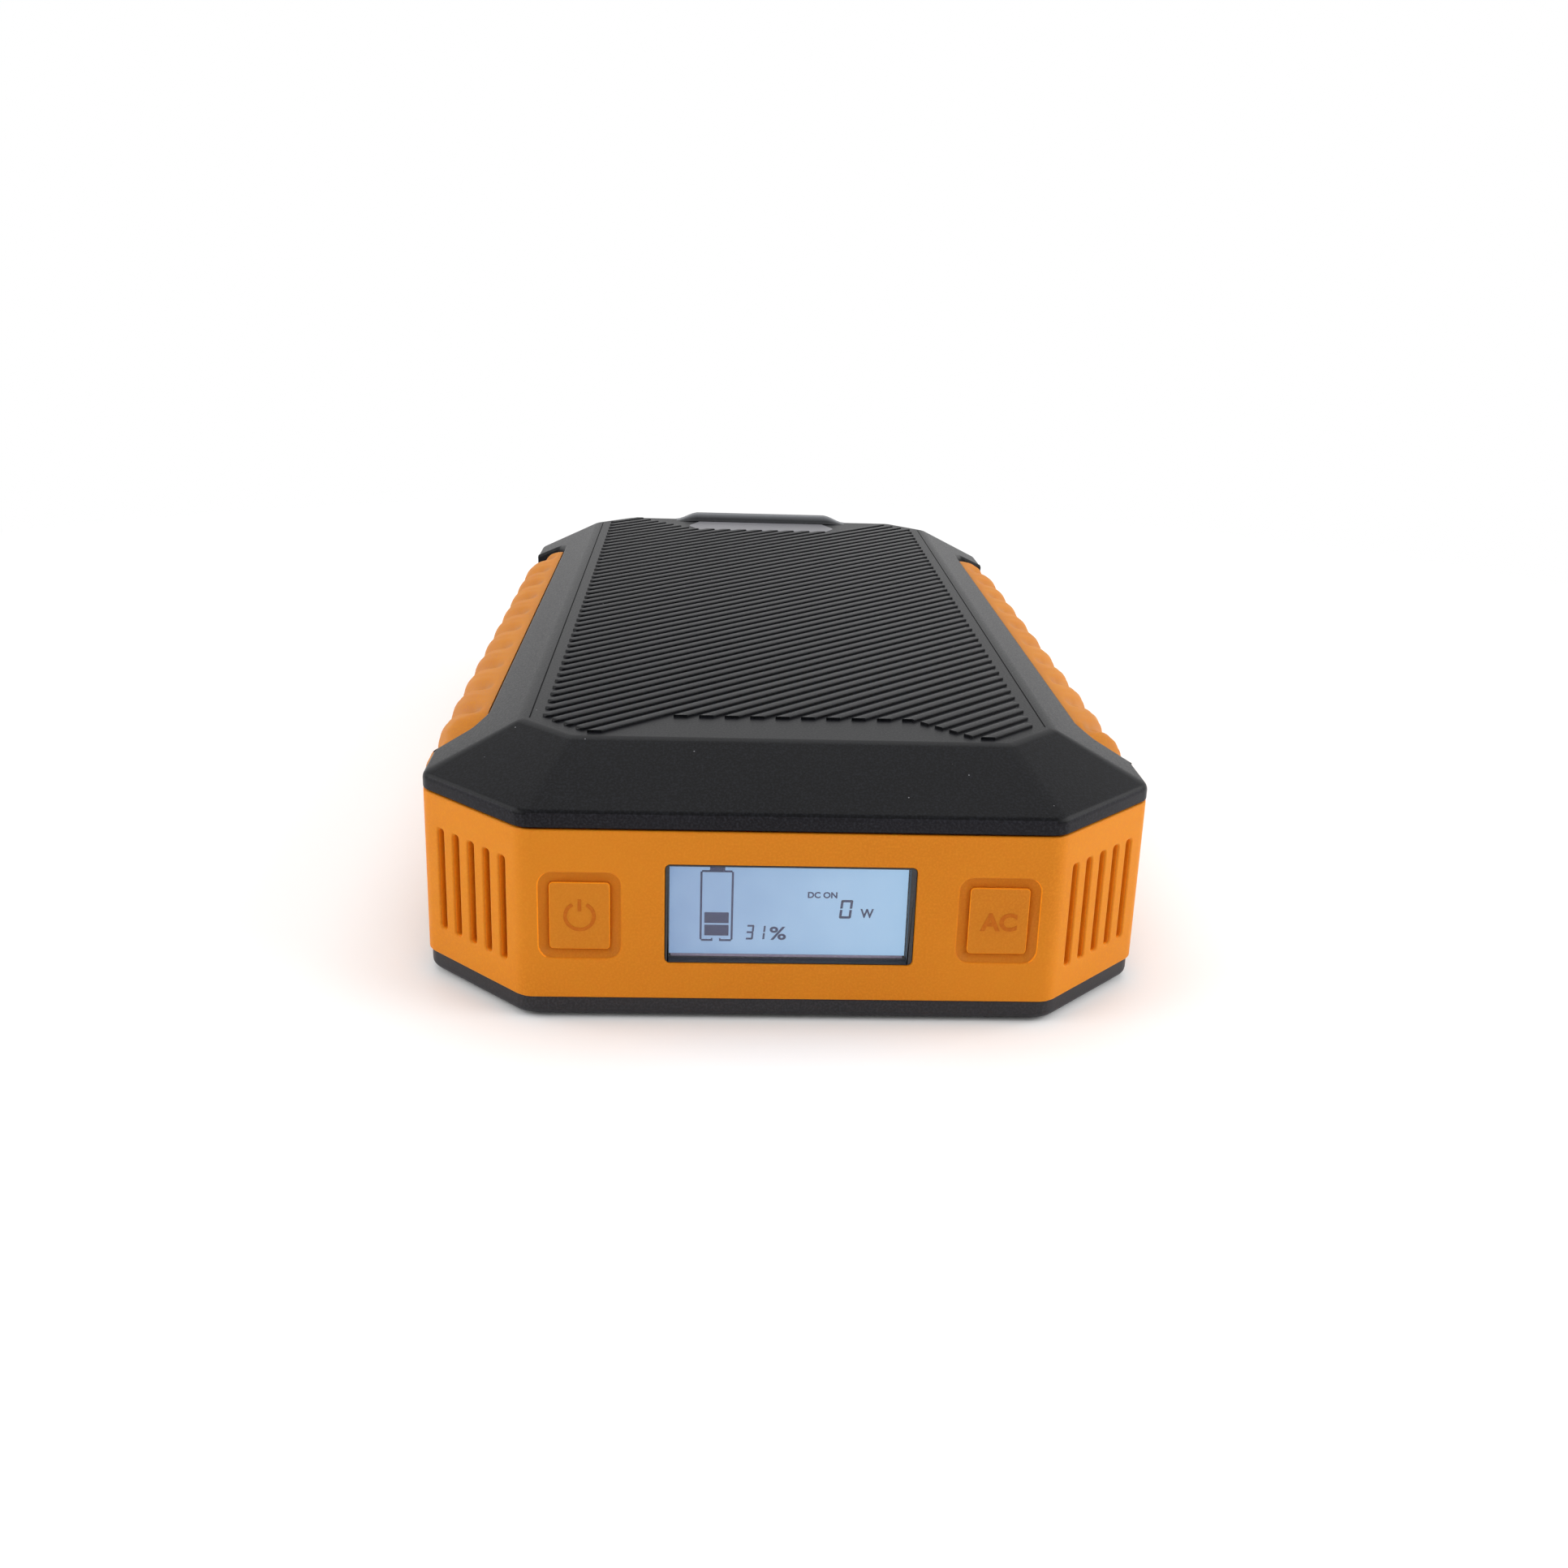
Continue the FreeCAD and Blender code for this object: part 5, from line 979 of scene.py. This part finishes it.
def skin_softness(spot):
    """Share of the rounding for an edge of an end skin."""
    at_face = abs(abs(spot.y) - half_length) < 0.02 * MM
    in_window = abs(spot.x) < window_reach and skin_bottom + 2 * MM < spot.z < skin_top - 2 * MM
    near_button = trench_inner < abs(spot.x) < trench_outer and trench_low < spot.z < trench_high
    corner = abs(spot.x) + abs(spot.y) - (half_width + half_length - corner_cut)
    if at_face and (in_window or near_button):
        return OPENING_SHARE
    if abs(corner) < 0.2 * MM:
        return CORNER_SHARE
    if spot.z < skin_bottom + 0.05 * MM or spot.z > skin_top - 0.05 * MM:
        return EDGE_SHARE if corner > -1.5 * MM or abs(spot.y) > half_length - 1 * MM else 0.0
    return 0.0


soften(front_skin, front_edge_round, skin_softness, segments=4, sharp=30, slices=front_slices)


def paint_skin(skin):
    """The skin's own orange, with a deeper orange on the trench floors as painted shade and a brighter
    one on the walls of the vents as painted light.
    """
    painted_with(skin, skin_orange, trench_painted_shade, painted_light_orange)
    # Trench floors get the painted shade and the walls of the vents the painted light.
    for face in skin.data.polygons:
        spot = face.center
        depth = half_width + half_length - corner_cut - abs(spot.x) - abs(spot.y)
        outward = Vector((math.copysign(1, spot.x), math.copysign(1, spot.y), 0)).normalized()
        upright_wall = abs(face.normal.dot(outward)) < 0.5
        beside_vent = vent_low - 0.1 * MM < spot.z < vent_high + 0.1 * MM
        in_vent = beside_vent and upright_wall and 0 < depth < 1.5 * skin_thickness
        in_trench = abs(spot.y + half_length - groove_depth) < 0.02 * MM and abs(face.normal.y) > 0.9
        face.material_index = 1 if in_trench else 2 if in_vent else 0


paint_skin(front_skin)
print("vent faces", sum(face.material_index == 2 for face in front_skin.data.polygons))

# %% Carve the rear skin
outlet_low, outlet_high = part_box("ac_outlet")
outlet_level = 18.9 * MM
outlet_width = 33.7 * MM
outlet_height = 25.9 * MM
outlet_round = 2.6 * MM
plate_round = 0.01 * MM
plate_gap = 0.3 * MM
port_centre = 31.8 * MM
rear_edge_round = 0.5 * MM
rear_slices = (-port_centre, -19 * MM, 0, 19 * MM, port_centre)
rear_skin = end_skin("rear_skin", REAR)
openings = [(rectangle(0, outlet_level, outlet_width, outlet_height), outlet_round)]
for name in ("port_plate_left", "port_plate_right"):
    low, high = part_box(name)
    around = rectangle((low.x + high.x) / 2, (low.z + high.z) / 2,
                       high.x - low.x + plate_gap, high.z - low.z + plate_gap)
    openings.append((around, plate_round))
tools = []
for opening, bow in openings:
    tools.append(through("opening", rounded(opening, bow, 5), half_length - cut_behind,
                         half_length + cut_before))
carve(rear_skin, tools)
soften(rear_skin, rear_edge_round, lambda spot: CORNER_SHARE if skin_softness(spot) else 0.0,
       segments=3, sharp=30, slices=rear_slices)
paint_skin(rear_skin)
socket_width = outlet_high.x - outlet_low.x
print("outlet", round(socket_width / MM, 1), "mm wide, its opening", round(outlet_width / MM, 1))

# %% [markdown]
# ## The grips
# Each grip is a soft bulge made of slanting strands, like a rope laid along the side, with a smooth band
# where it meets the lid. The bulge is a fine grid from two short formulas. It draws in near both ends,
# more at the front, where it tucks in behind the skin. The tree then presses the furrows between the
# strands inwards, so the pitch, the depth and the slant of the strands stay numbers that can be changed.
# The furrows die away toward the lid and above the foot. The push stays square to the grip's length, so
# the ends stay flat. The tree also stores a number for each furrow on the mesh, stronger near the lid,
# and the rubber's finish reads it to darken the furrows with painted shade.

# %% Tree that presses the strands into a bulge
strand_inputs = [("Pitch", "Float"), ("Start", "Float"), ("Furrow", "Float"), ("Fibres", "Float"),
                 ("Fibre depth", "Float"), ("Slant", "Float"), ("Middle", "Float"),
                 ("Inner edge", "Float"), ("Smooth band", "Float"), ("Blend", "Float"),
                 ("Foot", "Float"), ("Foot band", "Float"), ("Shade reach", "Float"),
                 ("Finish", "Material")]
tree, given, result = new_tree("strands", strand_inputs)


def sum_of(operation, first, second):
    """A Math node in the tree that is being built."""
    return added(tree, "ShaderNodeMath", {0: first, 1: second}, operation=operation)


where = added(tree, "GeometryNodeInputPosition", {})
axes = added(tree, "ShaderNodeSeparateXYZ", {"Vector": where})
outward = sum_of("SUBTRACT", axes.outputs["X"], given["Inner edge"])
round_about = sum_of("ADD", sum_of("SUBTRACT", given["Middle"], axes.outputs["Z"]), outward)
lean = sum_of("ADD", sum_of("MULTIPLY", round_about, given["Slant"]), given["Start"])
along = sum_of("DIVIDE", sum_of("SUBTRACT", axes.outputs["Y"], lean), given["Pitch"])
part = sum_of("FLOORED_MODULO", along, 1.0)
offset = sum_of("SUBTRACT", sum_of("MULTIPLY", part, 2.0), 1.0)
STEEPNESS = 2.5
shade_reach = 0.8 * MM
steep = sum_of("POWER", sum_of("ABSOLUTE", offset, 0.0), STEEPNESS)
turns = sum_of("MULTIPLY", sum_of("MULTIPLY", along, given["Fibres"]), 2 * math.pi)
ripple = sum_of("SUBTRACT", 0.5, sum_of("MULTIPLY", sum_of("COSINE", turns, 0.0), 0.5))


def ramp(value, reach):
    """0 below zero, 1 beyond the reach, and a straight line between."""
    return sum_of("MINIMUM", sum_of("MAXIMUM", sum_of("DIVIDE", value, reach), 0.0), 1.0)


beyond = sum_of("SUBTRACT", outward, given["Smooth band"])
above_foot = sum_of("SUBTRACT", axes.outputs["Z"], given["Foot"])
foot_fade = ramp(above_foot, given["Foot band"])
fade = sum_of("MULTIPLY", ramp(beyond, given["Blend"]), foot_fade)
pressed = sum_of("MULTIPLY", steep, fade)
# The shade stored below is painted shade: the grip's finish darkens the furrows by it, most near the lid.
paling = sum_of("SUBTRACT", 1.0, ramp(outward, given["Shade reach"]))
shade = sum_of("MULTIPLY", sum_of("MULTIPLY", steep, ramp(beyond, shade_reach)), paling)
furrow_shade_mark = {"Geometry": given["Geometry"], "Name": "furrow", "Value": shade}
marked = added(tree, "GeometryNodeStoreNamedAttribute", furrow_shade_mark, data_type="FLOAT", domain="POINT")
facing = added(tree, "GeometryNodeInputNormal", {})
fibre = sum_of("MULTIPLY", sum_of("MULTIPLY", ripple, fade), given["Fibre depth"])
furrow = sum_of("MULTIPLY", pressed, given["Furrow"])
depth = sum_of("MULTIPLY", sum_of("ADD", furrow, fibre), -1.0)
push = added(tree, "ShaderNodeVectorMath", {0: facing, "Scale": depth}, operation="SCALE")
level_push = added(tree, "ShaderNodeVectorMath", {0: push, 1: (1, 0, 1)}, operation="MULTIPLY")
moved = added(tree, "GeometryNodeSetPosition", {"Geometry": marked, "Offset": level_push})
finish_tree(tree, given, result, moved)
strand_tree = tree
print("tree", strand_tree.name, "with", len(strand_tree.nodes), "nodes")

# %% Shape the bulge
foot_inset = 1.6 * MM
crown_lift = 1.5 * MM
grip_bulge = grip_high.x - grip_low.x
grip_foot = half_width - foot_inset - grip_low.x
grip_middle = (grip_low.z + grip_high.z) / 2 + crown_lift
grip_crown = grip_high.z - grip_middle
STRAND_PITCH = 16.0 * MM
FRONT_TUCK = 0.2
REAR_TUCK = 0.08
EDGE_TUCK = 0.07
tuck_start = 77 * MM
edge_start = grip_high.y - 1.5 * MM
duck_start = grip_high.y - 13 * MM
duck_length = 11 * MM
duck_depth = 3.2 * MM
SIDE_SLOPE = 8.4 / 16.3
FOOT_STEPS = 16
CROWN_STEPS = 32
CROWN_FULLNESS = 0.94
TUCK_BEND = 1.5


def grip_section():
    """Half section of the smooth bulge: pairs of reach and height, from the foot to the lid."""
    points = [(0.0, grip_low.z)]
    for step in range(FOOT_STEPS):
        share = 1 - step / FOOT_STEPS
        height = grip_middle - share * (grip_middle - grip_low.z)
        points.append((grip_bulge - (grip_bulge - grip_foot) * share ** 2, height))
    for step in range(CROWN_STEPS + 1):
        angle = math.pi / 2 * step / CROWN_STEPS
        reach = grip_bulge * math.cos(angle) ** CROWN_FULLNESS
        points.append((reach, grip_middle + grip_crown * math.sin(angle)))
    return points


def grip_ring(y):
    """The section at one place along the grip. Near both ends it draws in, and its top ducks
    under the lid."""
    end_share = clamped((abs(y) - tuck_start) / (grip_high.y - tuck_start))
    edge_share = clamped((abs(y) - edge_start) / (grip_high.y - edge_start))
    drawn_in = 1 - (FRONT_TUCK if y < 0 else REAR_TUCK) * end_share ** TUCK_BEND
    drawn_in -= EDGE_TUCK * (1 - math.sqrt(1 - edge_share * edge_share))
    duck = eased(clamped((abs(y) - duck_start) / duck_length))
    ring = []
    for reach, z in grip_section():
        x = grip_low.x + reach * drawn_in
        lid_skin = case_top - max(0.0, x - top_half) * SIDE_SLOPE
        over = max(0.0, z - (lid_skin - duck_depth))
        ring.append(Vector((x, y, z - over * duck)))
    return ring


COLUMNS = 360
grip_gap = 0.3 * MM
slab_width = 20 * MM
stations = [grip_low.y + (grip_high.y - grip_low.y) * n / COLUMNS for n in range(COLUMNS + 1)]


def strands(name, first_furrow):
    """The pressed bulge, trimmed to its seat between the lid, the skins and the base."""
    piece = grow(name, loft("grip_bulge", [grip_ring(y) for y in stations]), strand_tree, {
        "Pitch": STRAND_PITCH, "Start": first_furrow, "Furrow": 1.7 * MM, "Fibres": 4.0,
        "Fibre depth": 0.15 * MM, "Slant": 1.0, "Middle": grip_middle, "Inner edge": grip_low.x,
        "Smooth band": 1.4 * MM, "Blend": 3.0 * MM, "Foot": grip_low.z + 0.6 * MM,
        "Foot band": 3.5 * MM, "Shade reach": 10 * MM, "Finish": grip_orange,
    })
    shoulder = rim_bottom - lid_gap
    limit = side_cut(1, shoulder - 0.5 * MM, grip_high.z + 1 * MM, grip_gap)
    wide_box = rectangle(grip_low.x + slab_width / 2, 0, slab_width + 0.2 * MM, 2 * grip_high.y)
    carve(limit, [upright("slab", wide_box, grip_low.z - 1 * MM, shoulder)], "UNION")
    return carve(piece, [limit], "INTERSECT", solver="MANIFOLD")


right_start = 1.1 * MM
left_start = 5.0 * MM
grip = strands("grip_right_strands", right_start)
grip_twin = strands("grip_twin", left_start)
print("grip faces", len(grip.data.polygons), "attributes", [a.name for a in grip.data.attributes])


# %% Mirror the grip
def mirrored(piece, name):
    """A copy on the other side of the middle, with its faces turned the right way round."""
    work = bmesh.new()
    work.from_mesh(piece.data)
    bmesh.ops.scale(work, vec=(-1, 1, 1), verts=work.verts)
    return painted_with(solid(name, work), *piece.data.materials)


def crease(piece, angle):
    """Smooth shading everywhere except over edges sharper than the angle."""
    work = bmesh.new()
    work.from_mesh(piece.data)
    for face in work.faces:
        face.smooth = True
    for edge in work.edges:
        edge.smooth = edge.calc_face_angle(0) < math.radians(angle)
    work.to_mesh(piece.data)
    work.free()
    return piece


CREASE = 35
crease(grip, CREASE)
grip_mirror = crease(mirrored(grip_twin, "grip_left_strands"), CREASE)
bpy.data.objects.remove(grip_twin)
print("mirrored", grip_mirror.name)

# %% [markdown]
# ## The base tray
# The black tray shows as a low band under the skins, set in a little, with a rounded lower edge.
# Underneath it has a pocket for each foot and a sunk hole for each case screw.

# %% Shape the tray
tray_low, tray_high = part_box("bottom_shell")
tray_half = tray_high.x
tray_length = tray_high.y
tray_round = 5 * MM
tray_edge_round = 1.2 * MM
tray_floor = 2.9 * MM
tray_rim = 1.4 * MM
screw_x = 50.99 * MM
screw_y = 96.0 * MM
foot_x = half_width - 18.5 * MM
foot_y = half_length - 34 * MM
bore_radius = 1.35 * MM
bore_depth = 6 * MM
seat_radius = 2.35 * MM
seat_depth = 2.05 * MM
pocket_radius = 5.15 * MM
pocket_depth = 1.8 * MM
DIAGONAL = 1.42
POCKET_SHARE = 0.12
SEAM_SHARE = 0.25
tray = upright("tray", rounded(octagon(tray_half, tray_length, corner_cut - 0.2 * MM), tray_round),
               tray_low.z, skin_bottom)
dish = octagon(waist_half - 0.2 * MM, tray_length - 2.2 * MM, corner_cut - 1.2 * MM)
tools = [upright("dish", dish, tray_floor, skin_bottom + 1 * MM)]


def disc(centre, radius, steps=40):
    """A circle of points round a centre, counterclockwise."""
    turn = 2 * math.pi / steps
    return [Vector((centre[0] + radius * math.cos(turn * n), centre[1] + radius * math.sin(turn * n)))
            for n in range(steps)]


hands = [(x, y) for x in (-1, 1) for y in (-1, 1)]
for x, y in hands:
    spot = (x * screw_x, y * screw_y)
    tools.append(upright("screw_bore", disc(spot, bore_radius), 0, bore_depth))
    tools.append(upright("screw_seat", disc(spot, seat_radius), 0, seat_depth))
for x, y in hands:
    tools.append(upright("foot_pocket", disc((x * foot_x, y * foot_y), pocket_radius), 0, pocket_depth))
carve(tray, tools)


def tray_softness(spot):
    """Share of the rounding for an edge of the tray."""
    cut = (abs(spot.x) + abs(spot.y) - (tray_half + tray_length - corner_cut)) / DIAGONAL
    outside = max(abs(spot.x) - tray_half, abs(spot.y) - tray_length, cut)
    at_bottom = spot.z < tray_low.z + 0.1 * MM
    if outside < -tray_rim:
        return POCKET_SHARE if at_bottom else 0.0
    return 1.0 if at_bottom else SEAM_SHARE


tray_slices = (-screw_x, -foot_x, 0, foot_x, screw_x)
soften(tray, tray_edge_round, tray_softness, segments=4, sharp=25, slices=tray_slices)
painted_with(tray, base_black)
print("tray faces", len(tray.data.polygons))

# %% [markdown]
# ## Buttons
# Each button is a soft pad with a flange behind the skin and a stem to its switch. Its sides are painted
# a brighter orange than its face, like the walls of the vents, as painted light in the narrow gap round
# the pad, which would otherwise show as a black line. A mark is moulded into the face: the power sign on
# one and the letters AC on the other.


# %% Shape the buttons
pad_inset = 0.05 * MM
pad_edge_round = 0.18 * MM
flange_round = 1.6 * MM
flange_front = 2.75 * MM
flange_back = 3.7 * MM
neck_radius = 2.0 * MM
FACES_FRONT = -0.97


def button(name, hand):
    """Pad, flange and stem of one button."""
    low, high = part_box(name)
    middle = hand * button_centre
    face = -half_length + pad_inset
    pad_outline = rounded(rectangle(middle, button_level, button_width, button_height), pad_round, 6)
    pad = through("pad", pad_outline, face, -half_length + skin_thickness)
    soften(pad, pad_edge_round, lambda spot: 1.0 if spot.y < face + 0.1 * MM else 0.0, segments=4)
    flange_outline = rounded(rectangle(middle, button_level, high.x - low.x, high.z - low.z),
                             flange_round, 4)
    flange = through("flange", flange_outline, -half_length + flange_front, -half_length + flange_back)
    neck = through("neck", disc((middle, button_level), neck_radius), -half_length + 2 * MM, high.y)
    whole = painted_with(merged(name + "_pad", [pad, flange, neck]), pad_orange, painted_light_orange)
    # Faces that do not look straight ahead get the brighter orange, as painted light.
    for part in whole.data.polygons:
        part.material_index = 1 if part.normal.y > FACES_FRONT else 0
    return whole


power_pad = button("power_button", -1)
ac_pad = button("ac_button", 1)
print("pad faces", len(power_pad.data.polygons))


# %% Draw the marks
def arc_band(centre, radius, line, start, end, steps=40):
    """A flat band along an arc, as one closed outline."""
    outer = []
    inner = []
    for step in range(steps + 1):
        angle = math.radians(start + (end - start) * step / steps)
        ray = Vector((math.cos(angle), math.sin(angle)))
        outer.append(Vector(centre) + ray * (radius + line / 2))
        inner.append(Vector(centre) + ray * (radius - line / 2))
    return outer + inner[::-1]


def letters(text, left, low, width, height, front, back, bold=0.02):
    """Plain capital letters fitted into a rectangle on a face that looks towards -Y."""
    curve = bpy.data.curves.new("letters", "FONT")
    curve.body = text
    curve.extrude = 0.5
    curve.offset = bold
    carrier = bpy.data.objects.new("letters", curve)
    bpy.context.scene.collection.objects.link(carrier)
    settled = bpy.data.meshes.new_from_object(carrier)
    bpy.data.objects.remove(carrier)
    spots = [vertex.co.copy() for vertex in settled.vertices]
    lowest = Vector([min(spot[axis] for spot in spots) for axis in range(3)])
    highest = Vector([max(spot[axis] for spot in spots) for axis in range(3)])
    size = highest - lowest
    for vertex in settled.vertices:
        share = [(vertex.co[axis] - lowest[axis]) / size[axis] for axis in range(3)]
        vertex.co = (left + share[0] * width, back + (front - back) * share[2], low + share[1] * height)
    work = bmesh.new()
    work.from_mesh(settled)
    return solid("letters", work)


mark_front = -half_length
mark_back = -half_length + 0.2 * MM
ring_centre = (-button_centre, 18.7 * MM)
ring_radius = 2.35 * MM
ring_line = 0.6 * MM
RING_START = 120
RING_END = 420
bar_level = 20.65 * MM
bar_width = 0.56 * MM
bar_height = 2.1 * MM
ac_left = button_centre - 3.0 * MM
ac_low = 16.95 * MM
ac_width = 6.1 * MM
ac_height = 3.25 * MM
AC_BOLD = 0.035
ring_outline = arc_band(ring_centre, ring_radius, ring_line, RING_START, RING_END)
ring = through("ring", ring_outline, mark_front, mark_back)
bar_outline = rectangle(-button_centre, bar_level, bar_width, bar_height)
bar = through("bar", bar_outline, mark_front, mark_back)
power_mark = painted_with(merged("power_mark", [ring, bar]), mark_orange)
ac_mark = letters("AC", ac_left, ac_low, ac_width, ac_height, mark_front, mark_back, AC_BOLD)
ac_mark.name = "ac_mark"
painted_with(ac_mark, mark_orange)
print("marks", power_mark.name, ac_mark.name)

# %% [markdown]
# ## The display
# Behind a clear pane lies a small liquid crystal panel with a pale blue light behind it. The lit
# field is a thin plate that glows, a little bluer at the left than at the right, and the signs on
# it are dark: a battery with its charge in percent, and the output in watts.

# %% Light the display
field_left = -19.9 * MM
field_right = 19.45 * MM
field_low = 11.14 * MM
field_high = 27.6 * MM
panel_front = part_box("lcd_glass")[0].y
field_front = panel_front - 0.06 * MM
field_back = panel_front + 0.3 * MM
lit_field = through("lit_field", rectangle((field_left + field_right) / 2, (field_low + field_high) / 2,
                                           field_right - field_left, field_high - field_low),
                    field_front, field_back)
glow, tree, shader = new_material("display_glow")
place = tree.nodes.new("ShaderNodeTexCoord")
axes = added(tree, "ShaderNodeSeparateXYZ", {"Vector": place.outputs["Object"]})
across = mapped(tree, axes.outputs["X"], field_left, field_right, 0.0, 1.0)
cells = added(tree, "ShaderNodeTexNoise", {"Vector": place.outputs["Object"], "Scale": 140})
base_tone = blended(tree, across, colour(126, 156, 200), colour(160, 200, 236))
cloudy = blended(tree, mapped(tree, cells, 0.3, 0.8, 0.0, 0.35), base_tone, colour(174, 208, 240))
wired(tree, shader, {"Emission Color": cloudy, "Emission Strength": 0.9, "Roughness": 0.4,
                     "Base Color": colour(30, 36, 44), "Specular IOR Level": 0.2})
painted_with(lit_field, glow)
foot_strip = through("display_strip", rectangle(-0.25 * MM, 10.85 * MM, 38.8 * MM, 0.46 * MM),
                     panel_front - 0.05 * MM, field_back)
strip_grey = finish("strip_glow", (176, 160, 190), (166, 150, 184), (190, 176, 200),
                    rough=(0.3, 0.4), bump=0.02)
painted_with(foot_strip, strip_grey)
print("lit field", [round(n / MM, 1) for n in lit_field.dimensions])


# %% Draw the signs on the display
ink_front = panel_front - 0.09 * MM
ink_back = panel_front - 0.02 * MM


def ink(outline):
    """A thin dark plate on the lit field."""
    return through("ink", outline, ink_front, ink_back)


def box_outline(left, right, low, high):
    """A rectangle between four limits in millimetres."""
    width = right - left
    height = high - low
    return rectangle((left + right) / 2 * MM, (low + high) / 2 * MM, width * MM, height * MM)


SEGMENTS = {"0": "abcdef", "1": "bc", "3": "abgcd"}


def digit(sign, left, low, width, height, line, slant=0.09):
    """A seven-segment digit; sizes are in millimetres."""
    right = left + width
    middle = low + height / 2
    top = low + height
    half = line / 2
    gap = line * 0.28
    bars = {
        "a": (left + gap, right - gap, top - line, top),
        "b": (right - line, right, middle + gap, top - gap),
        "c": (right - line, right, low + gap, middle - gap),
        "d": (left + gap, right - gap, low, low + line),
        "e": (left, left + line, low + gap, middle - gap),
        "f": (left, left + line, middle + gap, top - gap),
        "g": (left + gap, right - gap, middle - half, middle + half),
    }
    pieces = []
    for name in SEGMENTS[sign]:
        outline = box_outline(*bars[name])
        leaning = [Vector((p.x + (p.y - low * MM) * slant, p.y)) for p in outline]
        pieces.append(ink(leaning))
    return pieces


LINE = 0.34
battery = ((-14.85, -14.85 + LINE, 13.7, 25.85), (-9.36 - LINE, -9.36, 13.7, 25.85),
           (-14.6, -9.6, 26.1 - LINE, 26.1), (-14.6, -12.95, 13.42, 13.42 + LINE),
           (-11.35, -9.6, 13.42, 13.42 + LINE), (-12.95, -12.7, 13.42, 13.95),
           (-11.6, -11.35, 13.42, 13.95), (-13.3, -10.8, 26.1, 26.85),
           (-14.1, -10.06, 16.67, 18.61), (-14.08, -10.05, 14.41, 16.36))
signs = [ink(box_outline(*limits)) for limits in battery]
for sign, left, low, width, height, line in (("3", -7.25, 13.76, 1.25, 2.65, 0.32),
                                             ("1", -5.2, 13.76, 1.1, 2.6, 0.32),
                                             ("0", 8.2, 17.78, 2.0, 3.35, 0.42)):
    signs += digit(sign, left, low, width, height, line)
for text, left, low, width, height, bold in (("%", -3.22, 13.75, 2.75, 2.4, 0.02),
                                             ("DC ON", 2.91, 21.38, 4.9, 1.12, 0.035),
                                             ("W", 11.74, 17.9, 2.25, 1.65, 0.03)):
    signs.append(letters(text, left * MM, low * MM, width * MM, height * MM, ink_front, ink_back, bold))
display_signs = merged("display_signs", signs)
sign_ink = finish("sign_ink", (16, 26, 84), (13, 22, 78), (22, 32, 92), rough=(0.3, 0.4), bump=0.02,
                  specular=0.1)
painted_with(display_signs, sign_ink)
print("signs", len(signs))

# %% [markdown]
# The clear pane sits in a black rim that lines the window. The rim stays a little behind the skin,
# and its opening is nearly as large as the pane.

# %% Fit the pane and its black rim
lens_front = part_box("display_lens")[0].y
pane_thickness = 0.4 * MM
frame_left = -19.95 * MM
frame_right = 19.6 * MM
frame_low = 10.66 * MM
frame_high = 27.55 * MM
frame_gap = 0.1 * MM
frame_inset = 0.3 * MM
frame_edge_round = 0.12 * MM
PANE_FIT = 0.9995
opening = rectangle((frame_left + frame_right) / 2, (frame_low + frame_high) / 2,
                    frame_right - frame_left, frame_high - frame_low)
pane = through("clear_pane", [spot * PANE_FIT for spot in opening], lens_front,
               lens_front + pane_thickness)
painted_with(pane, FINISHES["clear_window"])
frame_shape = rounded(rectangle(0, window_centre, window_width - frame_gap, window_height - frame_gap),
                      0.8 * MM, 4)
window_rim = through("window_rim", frame_shape, -half_length + frame_inset, pane_high.y)
carve(window_rim, [through("opening", opening, -half_length - cut_before, pane_high.y + 1 * MM)])
soften(window_rim, frame_edge_round, lambda spot: 1.0 if spot.y < -half_length + 0.4 * MM else 0.0,
       segments=2, slices=(frame_left, frame_right))
painted_with(window_rim, FINISHES["part_black"])
print("window rim", [round(n / MM, 1) for n in window_rim.dimensions])

# %% [markdown]
# ## Hand every piece to its body
# A dressed piece stands for its CAD part and rides on the same body, so the buttons still press and the
# fan still turns. The hood's black with its painted highlight and the paler black painted on the lid's
# rim as painted light come last.

# %% Ride and replace
for piece, body, slot, nodes in (
    (lid, "case", "lid_black", ["top_cover"]),
    (ribs, "case", "lid_black", []),
    (hood, "case", "lid_black", []),
    (apron, "case", "lid_black", []),
    (seam_lines, "case", "lid_black", []),
    (front_skin, "case", "skin_orange", ["front_panel"]),
    (rear_skin, "case", "skin_orange", ["rear_panel"]),
    (grip, "case", "grip_orange", ["grip_right"]),
    (grip_mirror, "case", "grip_orange", ["grip_left"]),
    (tray, "case", "shell_black", ["bottom_shell"]),
    (power_pad, "power_button", "skin_orange", ["power_button"]),
    (power_mark, "power_button", "skin_orange", []),
    (ac_pad, "ac_button", "skin_orange", ["ac_button"]),
    (ac_mark, "ac_button", "skin_orange", []),
    (lit_field, "case", "lcd_panel", []),
    (foot_strip, "case", "lcd_panel", []),
    (display_signs, "case", "lcd_panel", []),
    (pane, "case", "clear_window", ["display_lens"]),
    (window_rim, "case", "part_black", ["display_bezel"]),
):
    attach(piece, body)
    if nodes:
        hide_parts(*nodes)
# The hood wears the black with the painted highlight along its crest.
painted_with(hood, hood_highlight_black)
# Upright faces along the lid's rim get the paler black, as painted light.
painted_with(lid, lid_black, rim_painted_light_black)
rim_depth = 0.7 * MM
UPRIGHT = 0.4
for face in lid.data.polygons:
    spot = face.center
    cut = abs(spot.x) + abs(spot.y) - (half_width + half_length - corner_cut)
    at_rim = max(abs(spot.x) - half_width, abs(spot.y) - half_length, cut) > -rim_depth
    face.material_index = 1 if at_rim and abs(face.normal.z) < UPRIGHT else 0
print("rim faces", sum(face.material_index for face in lid.data.polygons))
